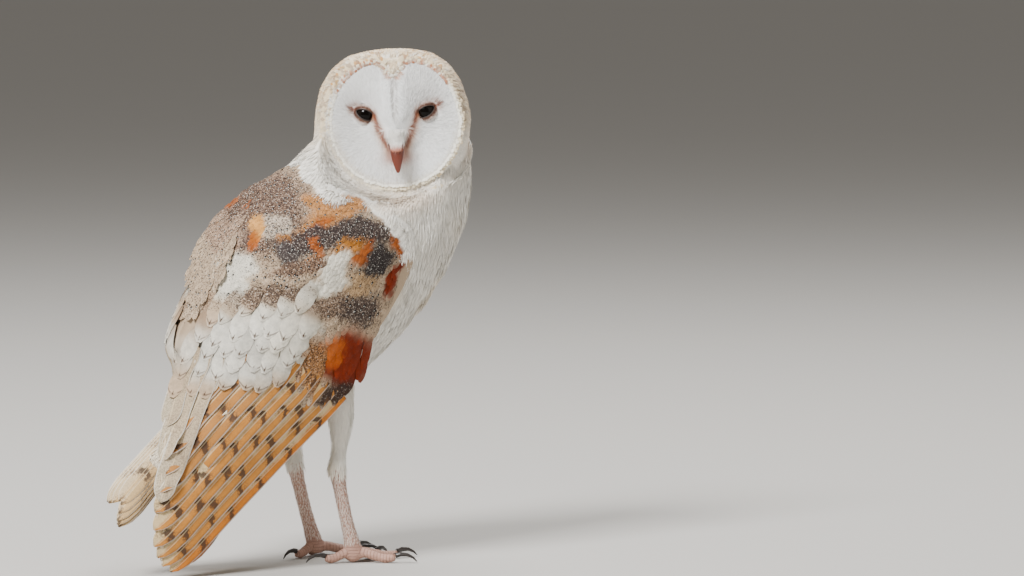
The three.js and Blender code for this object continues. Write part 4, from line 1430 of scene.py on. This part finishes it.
def covert_roots():
    """Roots and sizes of the small wing feathers, thrown like darts onto the chart."""
    rng = np.random.default_rng(21)
    tries = 38000
    v = rng.uniform(116, 262, tries)
    x = rng.uniform(-90, 80, tries)
    size = np.interp(v, [112, 150, 172, 195, 250], [0.9, 0.8, 0.6, 0.44, 0.38])
    low = v < np.interp(x, [-80, -8, 6, 14], [168, 172, 140, 100])
    reach = np.interp(v, [130, 150, 186, 200, 235, 250], [2.0, 5.0, 5.0, 12.0, 12.0, 6.0])
    back_edge, lead_edge = (np.interp(v, *edge) for edge in (BACK_EDGE, LEAD_EDGE))
    inside = (x > back_edge - reach) & (x < lead_edge + 1.5 + 5 * smooth(206, 216, v)) & ~low
    inside &= v - 18 * size > np.interp(x, [10, 30, 45], [104, 104, 118])
    inside &= v < np.interp(x, [-69, -63, -50, -33, -20, -6], [196, 213, 233, 247, 253, 262])
    roots = np.stack([x, v, size], 1)[inside]
    return roots[thin(roots[:, :2], 4.7 * roots[:, 2], 6.0)]


# Tips of the rows of white coverts, on the chart

WHITE_TIPS = np.array([
    (-55, 158), (-44, 160), (-33, 161), (-22, 161.5), (-11, 162), (0, 163),
    (-62, 146), (-50, 147), (-39, 148.5), (-28, 149.5), (-17, 150.5), (-6, 151.5), (5, 152),
    (-69, 134), (-57, 135), (-46, 136), (-35, 137), (-24, 138), (-13, 139), (-2, 140),
    (-74, 121), (-63, 123), (-52, 124), (-41, 125), (-30, 126), (-19, 127), (-8, 128),
    (-78, 109), (-68, 110), (-57, 112), (-46, 113), (-35, 114), (-24, 115), (-13, 117),
])


def build_coverts(side):
    """Small feathers over the shoulder and arm of one wing, and the white rows below them."""
    rng = np.random.default_rng(31)
    roots = covert_roots()
    chart, size = roots[:, :2], roots[:, 2]
    tips = WHITE_TIPS + rng.normal(0, 0.9, WHITE_TIPS.shape)
    tips_way = wing_way(tips)
    way = np.concatenate([wing_way(chart), tips_way])
    way = way + rng.normal(0, 0.06, way.shape)
    chart = np.concatenate([chart, tips - tips_way * 22.0])
    large = np.arange(len(chart)) >= len(roots)
    size = np.concatenate([size, np.ones(len(tips))])
    length = np.where(large, 23.0, 21.0 * size) * rng.uniform(0.92, 1.08, len(size))
    rows, columns = 7, 5
    t = np.linspace(0, 1, rows)
    charts = chart[:, None] + way[:, None] * (length[:, None] * t[None])[..., None]
    profile = np.array([0.5, 0.78, 0.95, 1.0, 0.92, 0.70, 0.24])
    half = np.where(large, 6.3, 5.8 * size) * rng.uniform(0.9, 1.08, len(size))
    base = np.where(large, 2.2, 0.2)[:, None]
    rise = np.where(large, 1.2, 1.5 * size)[:, None]
    lift = base + rise * t[None] ** 1.3 + rng.uniform(0, 0.3, (len(size), 1)) * t
    grids = vane_grid(charts, Owl.charts[side], half, profile, lift, columns, 0.7 * size)
    spots = np.repeat(charts[:, :, None], columns, 2)
    tint, speckle = wing_marks(spots)
    # Painted shade: each covert darker at its root, where the feather over it shades it, and a little
    # lighter at its tip.
    shade = np.interp(t, [0, 0.45, 0.8, 1], [0.72, 0.90, 1.0, 1.04])[None, :, None, None]
    tint = tint * shade * rng.uniform(0.86, 1.10, (len(tint), 1, 1, 1))
    middle = speckle[:, 4, 2]
    dotted = (rng.random(len(size)) < 0.12 + 0.3 * middle) & (middle > 0.2) & (size < 0.62)
    centre = (chart - WingChart.LOW) / (WingChart.HIGH - WingChart.LOW)
    vane = vane_coordinates(len(chart), rows, columns)
    patch = np.where(large, 0.03, 0.008)[:, None, None, None]
    faint = speckle * smooth(162, 170, spots[..., 1]) + 0.1
    attributes = {
        "tint": tint, "speckle": np.where(large[:, None, None], faint, speckle),
        "tip": large * 1.0, "dot": dotted * 1.0,
    }
    obj = vane_object(f"coverts_{side}", grids, vane, centre[:, None, None] + (vane - 0.5) * patch,
                      attributes, Owl.materials["covert"], flip=side == "left")
    seat(obj, "grey_feather")


FLIGHT_KINDS = {
    # outer web, inner web, bars, place of the shaft, speckle
    "primary": (srgb(188, 124, 50), srgb(208, 182, 136), 1.0, 0.33, 0.3),
    "secondary": (srgb(178, 120, 56), srgb(202, 176, 134), 1.0, 0.35, 0.45),
    "tertial": (srgb(186, 166, 136), srgb(196, 180, 152), 0.2, 0.5, 0.8),
}
# Flight feathers, on the chart: kind, root, tip and half width
FLIGHT_LINES = (
    ("primary", (30.0, 111.3), (-80.0, -3.0), 8.2),
    ("primary", (24.7, 116.7), (-85.0, 1.0), 8.6),
    ("primary", (19.3, 121.3), (-88.0, 6.5), 8.8),
    ("primary", (13.3, 126.0), (-90.0, 13.7), 8.8),
    ("primary", (7.3, 130.0), (-90.0, 24.3), 8.8),
    ("primary", (0.7, 134.0), (-89.3, 35.7), 8.8),
    ("secondary", (-6.0, 138.0), (-88.0, 47.7), 8.8),
    ("secondary", (-12.7, 141.3), (-86.7, 59.7), 8.8),
    ("secondary", (-20.0, 144.0), (-84.3, 71.7), 8.6),
    ("secondary", (-28.0, 146.0), (-82.3, 83.0), 8.4),
    ("tertial", (-48.0, 138.0), (-86.0, 42.0), 8.4),
    ("tertial", (-56.0, 139.3), (-84.0, 68.3), 8.0),
    ("tertial", (-62.7, 142.7), (-81.3, 90.3), 7.5),
)


def side_by_side(vane):
    """Bake places of a few large feathers, in one row of equal columns."""
    count = len(vane)
    cell = np.arange(count)[:, None, None]
    return np.stack([(vane[..., 0] * 0.92 + 0.04 + cell) / count, vane[..., 1]], -1)


def build_flight(side):
    """Primaries, secondaries and tertials of one wing, each a long vane with a raised shaft."""
    rng = np.random.default_rng(41)
    rows, columns = 41, 9
    t = np.linspace(0, 1, rows)
    count = len(FLIGHT_LINES)
    charts, lift = np.zeros((count, rows, 2)), np.zeros((count, rows))
    distance = np.zeros((count, rows, columns))
    for i, (kind, root, tip, _) in enumerate(FLIGHT_LINES):
        root, tip = np.array(root), np.array(tip)
        length = np.linalg.norm(tip - root)
        bend = np.array([-(tip - root)[1], (tip - root)[0]]) / length
        bow = 2.5 * np.sin(np.pi * t)
        charts[i] = root + (tip - root) * t[:, None] - bend * bow[:, None]
        lift[i] = 0.5 + 0.05 * i + (0.7 if kind == "tertial" else 0.0)
        distance[i] = ((1 - t) * length * MM)[:, None] + 0.009 * (i % 2) + 0.002 * i
    fresh = rng.uniform(0.93, 1.05, (count, 1))
    kinds = [FLIGHT_KINDS[line[0]] for line in FLIGHT_LINES]
    outer, inner, bars, shaft, speckle = (np.array(column) for column in zip(*kinds))
    outer = outer * fresh
    outer[0] = srgb(200, 118, 30)
    half = np.array([line[3] for line in FLIGHT_LINES])
    profile = np.interp(t, [0, 0.12, 0.5, 0.86, 0.93, 0.97, 0.99, 1.0],
                        [0.55, 0.85, 1, 0.97, 0.8, 0.52, 0.3, 0.06])
    grids = vane_grid(charts, Owl.charts[side], half, profile, lift, columns,
                      np.full(count, 0.1), 0.8)
    vane = vane_coordinates(count, rows, columns)
    vane[..., 0] = 1 - vane[..., 0]
    attributes = {
        "tint": outer, "inner": inner * fresh, "bars": bars, "shaft": shaft,
        "speckle": speckle, "from_tip": distance,
    }
    obj = vane_object(f"flight_feathers_{side}", grids, vane, side_by_side(vane), attributes,
                      Owl.materials["flight"], 0.15, flip=side == "left")
    seat(obj, "gold_feather", f"wing_{side}_primaries")


# Tail

TAIL_ROOT = np.array([-112.0, 0.0, 112.0])
TAIL_TIP = np.array([-187.0, 0.0, 44.0])
TAIL_ROLL = math.radians(45)
TAIL_FEATHERS = 12


def build_tail():
    """Twelve tail feathers, folded over each other, with a shallow notch between the halves."""
    rows, columns = 31, 7
    t = np.linspace(0, 1, rows)
    axis = unit(TAIL_TIP - TAIL_ROOT)
    turn = Matrix.Rotation(-TAIL_ROLL, 3, Vector(axis))
    sideways = np.array(turn @ Vector((0.0, 1.0, 0.0)))
    upward = unit(np.cross(sideways, axis))
    rng = np.random.default_rng(51)
    grids = np.zeros((TAIL_FEATHERS, rows, columns, 3))
    distance = np.zeros((TAIL_FEATHERS, rows, columns))
    s = np.linspace(-1, 1, columns)
    profile = np.interp(t, [0, 0.2, 0.85, 0.95, 1.0], [0.5, 0.8, 1.0, 0.72, 0.1])
    length = np.linalg.norm(TAIL_TIP - TAIL_ROOT)
    for i, p in enumerate(np.linspace(-1, 1, TAIL_FEATHERS)):
        reach = 1 - 0.07 * p - 0.05 * p**6 - 0.09 * math.exp(-((p / 0.3) ** 2))
        middle = (9.0 + 3.5 * t) * math.sin(p * math.pi / 2) * 0.72
        centre = TAIL_ROOT + axis * (length * reach * t)[:, None] + sideways * middle[:, None]
        arch = -5.0 * t * p * p - 0.28 * abs(i - 5.5) + 0.6
        centre = centre + upward * arch[:, None]
        reach_out = (5.6 * profile)[:, None] * s[None]
        grids[i] = centre[:, None] + sideways * reach_out[..., None]
        grids[i] -= upward * (0.5 * s**2)[None, :, None]
        distance[i] = ((1 - t) * length * reach * MM)[:, None]
    grids = from_body(grids.reshape(-1, 3)).reshape(grids.shape)
    vane = vane_coordinates(TAIL_FEATHERS, rows, columns)
    fresh = rng.uniform(0.95, 1.05, (TAIL_FEATHERS, 1))
    ones = np.ones(TAIL_FEATHERS)
    attributes = {
        "tint": srgb(202, 168, 118) * fresh, "inner": srgb(208, 184, 146) * fresh, "bars": ones,
        "shaft": ones * 0.5, "speckle": ones * 0.8, "from_tip": distance,
    }
    obj = vane_object("tail_feathers", grids, vane, side_by_side(vane), attributes,
                      Owl.materials["flight"], 0.3)
    seat(obj, "buff_feather", "tail")


# Eyes, lids, bill and claws


def eye_centre(sign):
    return np.array([sign * EYE_SPREAD, EYE_DEPTH, EYE_HEIGHT])


def build_eyes(look):
    """Each eye is a smooth ball with a dark pupil."""
    for side, sign in SIDE_SIGNS:
        name = f"eyeball_{side}"
        bm = bmesh.new()
        bmesh.ops.create_uvsphere(bm, u_segments=48, v_segments=32, radius=EYE_RADIUS * MM)
        turn = Matrix.Rotation(math.radians(90), 3, "X")
        bmesh.ops.rotate(bm, verts=bm.verts, cent=(0, 0, 0), matrix=turn)
        at = HEAD_AXES @ eye_centre(sign) + HEAD_AT
        bmesh.ops.translate(bm, verts=bm.verts, vec=Vector(at * MM))
        mesh = mesh_from(bm, name)
        local = to_head(coords(mesh) / MM) - eye_centre(sign)
        set_number(mesh, "iris", smooth(2.6, 3.0, np.hypot(local[:, 0], local[:, 2])))
        shade_smooth(mesh)
        seat(new_object(name, mesh, Owl.materials["eye"]), "eye", f"eye_{side}")


LID_LONG = 6.4  # half sizes of the eye opening
LID_TALL = 3.05
LID_RINGS = (
    # growth, height over the eyeball, darkness
    (0.0, 0.08, 1.0), (0.0, 0.5, 1.0), (0.3, 0.75, 1.0), (0.8, 0.75, 0.75), (1.5, 0.55, 0.35),
    (2.4, 0.2, 0.1), (3.4, -0.6, 0.0), (4.6, -2.4, 0.0),
)


def lid_ring(sign, grow, lift, steps):
    """One almond-shaped ring round an eye, on a shell over the eyeball, in the head frame."""
    a = 2 * math.pi * np.arange(steps) / steps
    x = (LID_LONG + grow) * np.cos(a)
    z = (LID_TALL + grow) * np.sign(np.sin(a)) * np.abs(np.sin(a)) ** 1.35
    slant = EYE_SLANT * sign
    x, z = x * math.cos(slant) - z * math.sin(slant), x * math.sin(slant) + z * math.cos(slant)
    depth = np.sqrt(np.maximum((EYE_RADIUS + lift) ** 2 - x * x - z * z, 0.0))
    return eye_centre(sign) + np.stack([x, -depth, z], 1)


def ring_loft(bm, rings):
    """Bridges closed rings of points, in order, and returns the vertices."""
    loops = []
    for ring in rings:
        verts = [bm.verts.new(Vector(p)) for p in ring]
        edges = [bm.edges.new((verts[i - 1], verts[i])) for i in range(len(verts))]
        loops.append((verts, edges))
    for (_, first), (_, second) in zip(loops, loops[1:]):
        bmesh.ops.bridge_loops(bm, edges=first + second)
    return loops


def build_lids():
    """Upper and lower eyelids as one fold round each slanted eye opening."""
    for side, sign in SIDE_SIGNS:
        name = f"eyelids_{side}"
        rings = [lid_ring(sign, grow, lift, 56) for grow, lift, _ in LID_RINGS]
        bm = bmesh.new()
        ring_loft(bm, [from_head(ring) * MM for ring in rings])
        bmesh.ops.recalc_face_normals(bm, faces=bm.faces)
        mesh = mesh_from(bm, name)
        set_number(mesh, "rim", np.repeat([dark for _, _, dark in LID_RINGS], 56))
        shade_smooth(mesh)
        obj = new_object(name, mesh, Owl.materials["lid"])
        modify(obj, "SOLIDIFY", thickness=0.2 * MM, offset=-1)
        apply_modifiers(obj)
        seat(obj, "eye")


def build_lash_coat():
    """Tiny feathers on the eyelids, and white bristles that fall over the root of the bill."""
    rng = np.random.default_rng(71)
    roots, ups, ways, lengths = [], [], [], []
    for sign in (1, -1):
        for grow in np.arange(0.7, 3.6, 0.42):
            for p in lid_ring(sign, grow + rng.uniform(-0.1, 0.1), 0.7 - 0.12 * grow, 64):
                roots.append(p + rng.normal(0, 0.12, 3))
                ups.append(unit(roots[-1] - eye_centre(sign)))
                ways.append(unit(np.array([ups[-1][0], 0.25, ups[-1][2]])))
                lengths.append(rng.uniform(1.4, 2.3))
    roots, ups, ways, lengths = (np.array(v) for v in (roots, ups, ways, lengths))
    t = np.linspace(0, 1, TUFTS["lash"].rows)
    paths = roots[:, None] + ways[:, None] * (lengths[:, None] * t)[..., None]
    tint = face_tint(paths[:, 1])
    front, _ = tree_of(["face_left", "face_right", "face_ridge", "bill_upper"])
    fall, fall_tint = [], []
    for _ in range(620):
        x, z = rng.normal(0, 3.2), rng.uniform(-14.5, -3.0)
        if abs(x) > 7.5 - 0.2 * abs(z):
            continue
        path = []
        reach = rng.uniform(3.5, 5.0)
        for step in t:
            spot = np.array([x, -60.0, z]) + np.array([-0.10 * x / 3, 0.0, -1.0]) * reach * step
            hit = front.ray_cast(Vector(HEAD_AXES @ spot + HEAD_AT), Vector(HEAD_AXES[:, 1]))[0]
            if hit is None:
                break
            rise = np.array([0, -0.5 - 0.7 * math.sin(2.6 * step), 0])
            path.append(to_head(np.array(hit)) + rise)
        if len(path) == len(t):
            fall.append(path)
            rosy = smooth(-14, -19, path[-1][2])
            pale = srgb(240, 236, 228) + (srgb(196, 124, 100) - srgb(240, 236, 228)) * rosy
            fall_tint.append(pale * rng.uniform(0.86, 1.03))
    paths = from_head(np.concatenate([paths, np.array(fall)]))
    fall_ups = np.tile([0.0, -1.0, 0.2], (len(fall), len(t), 1))
    ups = np.concatenate([np.repeat(ups[:, None], len(t), 1), fall_ups]) @ HEAD_AXES.T
    tint = np.concatenate([tint, np.array(fall_tint)])
    uv = np.array([Owl.skin.uv[Owl.skin.tree.find_nearest(Vector(p))[2]] for p in paths[:, 0]])
    mesh = strand_mesh("lash_coat", paths, ups, uv, tint, TUFTS["lash"], 72)
    seat(new_object("lash_coat", mesh, Owl.materials["down"]), "white_feather")


BILL_HALVES = (
    # name, middle line in the head frame, thickness at the root and at the tip, CAD node
    ("bill_upper_horn", [(-17, -6), (-28, -12), (-32.6, -19), (-33.6, -26), (-31.8, -32)],
     7.0, 0.8, "bill_upper"),
    ("bill_lower_horn", [(-18, -16), (-25, -20), (-29, -26)], 3.4, 0.4, "bill_lower"),
)


def spline(points, t):
    """Smooth curve through points, by interpolating each coordinate."""
    points = np.array(points, float)
    knots = np.linspace(0, 1, len(points))
    out = []
    for value in t:
        i = min(int(value * (len(points) - 1)), len(points) - 2)
        f = (value - knots[i]) / (knots[i + 1] - knots[i])
        p0, p1 = points[max(i - 1, 0)], points[i]
        p2, p3 = points[i + 1], points[min(i + 2, len(points) - 1)]
        out.append(0.5 * (2 * p1 + (p2 - p0) * f + (2 * p0 - 5 * p1 + 4 * p2 - p3) * f**2
                          + (3 * p1 - p0 - 3 * p2 + p3) * f**3))
    return np.array(out)


def build_bill():
    """Hooked upper bill with a keel, and the lower bill that it closes over."""
    steps, around = 22, 28
    t = np.linspace(0, 1, steps)
    across = np.array([1.0, 0, 0])
    for name, line, thick, thin_end, node in BILL_HALVES:
        centre = spline([(0, *place) for place in line], t)
        ahead = unit(np.gradient(centre, axis=0))
        rings = []
        for i in range(steps):
            radius = thick + (thin_end - thick) * t[i] ** 1.9
            up = np.cross(across, ahead[i])
            ring = []
            for a in 2 * math.pi * np.arange(around) / around:
                keel = 1.0 + 0.16 * max(0.0, math.cos(a - math.pi / 2)) ** 6
                x, y = math.cos(a) * 0.84, math.sin(a) * keel * 0.6
                p = centre[i] + across * x * radius + up * y * radius
                ring.append((HEAD_AXES @ p + HEAD_AT) * MM)
            rings.append(ring)
        bm = bmesh.new()
        loops = ring_loft(bm, rings)
        for verts, _ in (loops[0], loops[-1]):
            bmesh.ops.contextual_create(bm, geom=verts)
        bmesh.ops.recalc_face_normals(bm, faces=bm.faces)
        mesh = mesh_from(bm, name)
        set_number(mesh, "along", smooth(-18, -34, to_head(coords(mesh) / MM)[:, 2]))
        shade_smooth(mesh)
        seat(new_object(name, mesh, Owl.materials["bill"]), "bill", node)


def build_claws():
    """Each claw is its solid, remeshed fine and smoothed."""
    for node in CLAW_NODES:
        obj = new_object(node + "_horn", merged_copy([node], node + "_horn"))
        modify(obj, "REMESH", mode="VOXEL", voxel_size=0.0004)
        modify(obj, "SMOOTH", iterations=6, factor=0.5)
        finish_surface(apply_modifiers(obj), Owl.materials["claw"])
        seat(obj, "claw", node)


# Stage

LIT_PLACE = Vector((0.0, 0.0, 0.18))
LIGHTS = (
    # name, place, size in metres, power in watts
    ("key", (-1.3, -2.0, 2.4), 1.0, 200.0),
    ("fill", (2.4, -1.6, 1.2), 2.2, 13.0),
    ("top", (0.4, 1.0, 2.6), 1.6, 80.0),
)


def aim(obj, place, direction):
    obj.location = place
    obj.rotation_euler = direction.to_track_quat("-Z", "Y").to_euler()


def build_stage(look):
    """Plain floor, soft studio light and the camera."""
    bm = bmesh.new()
    bmesh.ops.create_grid(bm, x_segments=1, y_segments=1, size=25.0)
    g = Graph("floor")
    colour = g.mix(g.noise(g.place(), 3.0) * 0.1, look.floor_colour, (0.6, 0.58, 0.55))
    new_object("floor", mesh_from(bm, "floor"), g.finish(colour, 0.9))
    world = bpy.data.worlds.new("studio")
    world.use_nodes = True
    background = world.node_tree.nodes["Background"]
    background.inputs[0].default_value = (*look.floor_colour, 1.0)
    background.inputs[1].default_value = 0.52
    bpy.context.scene.world = world
    for name, place, size, power in LIGHTS:
        data = bpy.data.lights.new(name, "AREA")
        data.energy = power
        data.size = size
        aim(linked(name, data), Vector(place), LIT_PLACE - Vector(place))
    data = bpy.data.cameras.new("camera")
    data.lens = 184.6
    data.sensor_width = 36.0
    camera = linked("camera", data)
    back = Vector((0.0, -math.cos(VIEW_RISE), math.sin(VIEW_RISE)))
    target = Vector(CHART_AT * MM) + Vector((141.3, 0.0, 181.1)) * MM
    aim(camera, target + back * 3.5, -back)
    bpy.context.scene.camera = camera


# Operators


class OwlOperator:
    """Shared by every operator here."""

    bl_options = {"REGISTER", "UNDO"}

    def execute(self, context):
        self.build(context.scene.owl_look)
        return {"FINISHED"}


class OWL_OT_materials(OwlOperator, bpy.types.Operator):
    """Makes the owl's materials"""

    bl_idname = "owl.materials"
    bl_label = "Materials"

    def build(self, look):
        Owl.materials = {
            "down": down_material(), "covert": covert_material(), "flight": flight_material(),
            "skin": skin_material(), "eye": eye_material(look), "bill": bill_material(look),
            "claw": claw_material(), "lid": lid_material(),
        }


class OWL_OT_skin(OwlOperator, bpy.types.Operator):
    """Builds the one skin under the coat"""

    bl_idname = "owl.skin"
    bl_label = "Skin"

    def build(self, look):
        build_skin(look)


class OWL_OT_coat(OwlOperator, bpy.types.Operator):
    """Lays the soft coat of face, head, neck, trunk and legs"""

    bl_idname = "owl.coat"
    bl_label = "Soft coat"

    def build(self, look):
        build_coat()
        build_ruff()


class OWL_OT_wings(OwlOperator, bpy.types.Operator):
    """Lays the coverts and flight feathers of both wings"""

    bl_idname = "owl.wings"
    bl_label = "Wings"

    def build(self, look):
        build_wing_core()
        build_shoulder_coat()
        Owl.charts = {side: WingChart(side) for side in SIDES}
        for side in SIDES:
            build_flight(side)
            build_coverts(side)


class OWL_OT_tail(OwlOperator, bpy.types.Operator):
    """Lays the tail feathers"""

    bl_idname = "owl.tail"
    bl_label = "Tail"

    def build(self, look):
        build_tail()


class OWL_OT_eyes(OwlOperator, bpy.types.Operator):
    """Sets the eyes and their lids"""

    bl_idname = "owl.eyes"
    bl_label = "Eyes and lids"

    def build(self, look):
        build_eyes(look)
        build_lids()
        build_lash_coat()


class OWL_OT_horn(OwlOperator, bpy.types.Operator):
    """Shapes the bill and the claws"""

    bl_idname = "owl.horn"
    bl_label = "Bill and claws"

    def build(self, look):
        build_bill()
        build_claws()


class OWL_OT_stage(OwlOperator, bpy.types.Operator):
    """Sets the floor, the lights and the camera"""

    bl_idname = "owl.stage"
    bl_label = "Stage"

    def build(self, look):
        build_stage(look)


OPERATORS = (
    OWL_OT_materials, OWL_OT_skin, OWL_OT_coat, OWL_OT_wings, OWL_OT_tail, OWL_OT_eyes,
    OWL_OT_horn, OWL_OT_stage,
)


class OWL_PT_panel(bpy.types.Panel):
    """Lists the steps that build the owl"""

    bl_label = "Barn owl"
    bl_idname = "OWL_PT_panel"
    bl_space_type = "VIEW_3D"
    bl_region_type = "UI"
    bl_category = "Owl"

    def draw(self, context):
        look = context.scene.owl_look
        for name in look.__annotations__:
            self.layout.prop(look, name)
        for operator in OPERATORS:
            self.layout.operator(operator.bl_idname)


CLASSES = (Look, *OPERATORS, OWL_PT_panel)


def register():
    for cls in CLASSES:
        bpy.utils.register_class(cls)
    bpy.types.Scene.owl_look = bpy.props.PointerProperty(type=Look)


def unregister():
    del bpy.types.Scene.owl_look
    for cls in reversed(CLASSES):
        bpy.utils.unregister_class(cls)


def main():
    register()
    bpy.ops.owl.materials()
    bpy.ops.owl.skin()
    bpy.ops.owl.coat()
    bpy.ops.owl.wings()
    bpy.ops.owl.tail()
    bpy.ops.owl.eyes()
    bpy.ops.owl.horn()
    bpy.ops.owl.stage()


if __name__ == "__main__":
    main()
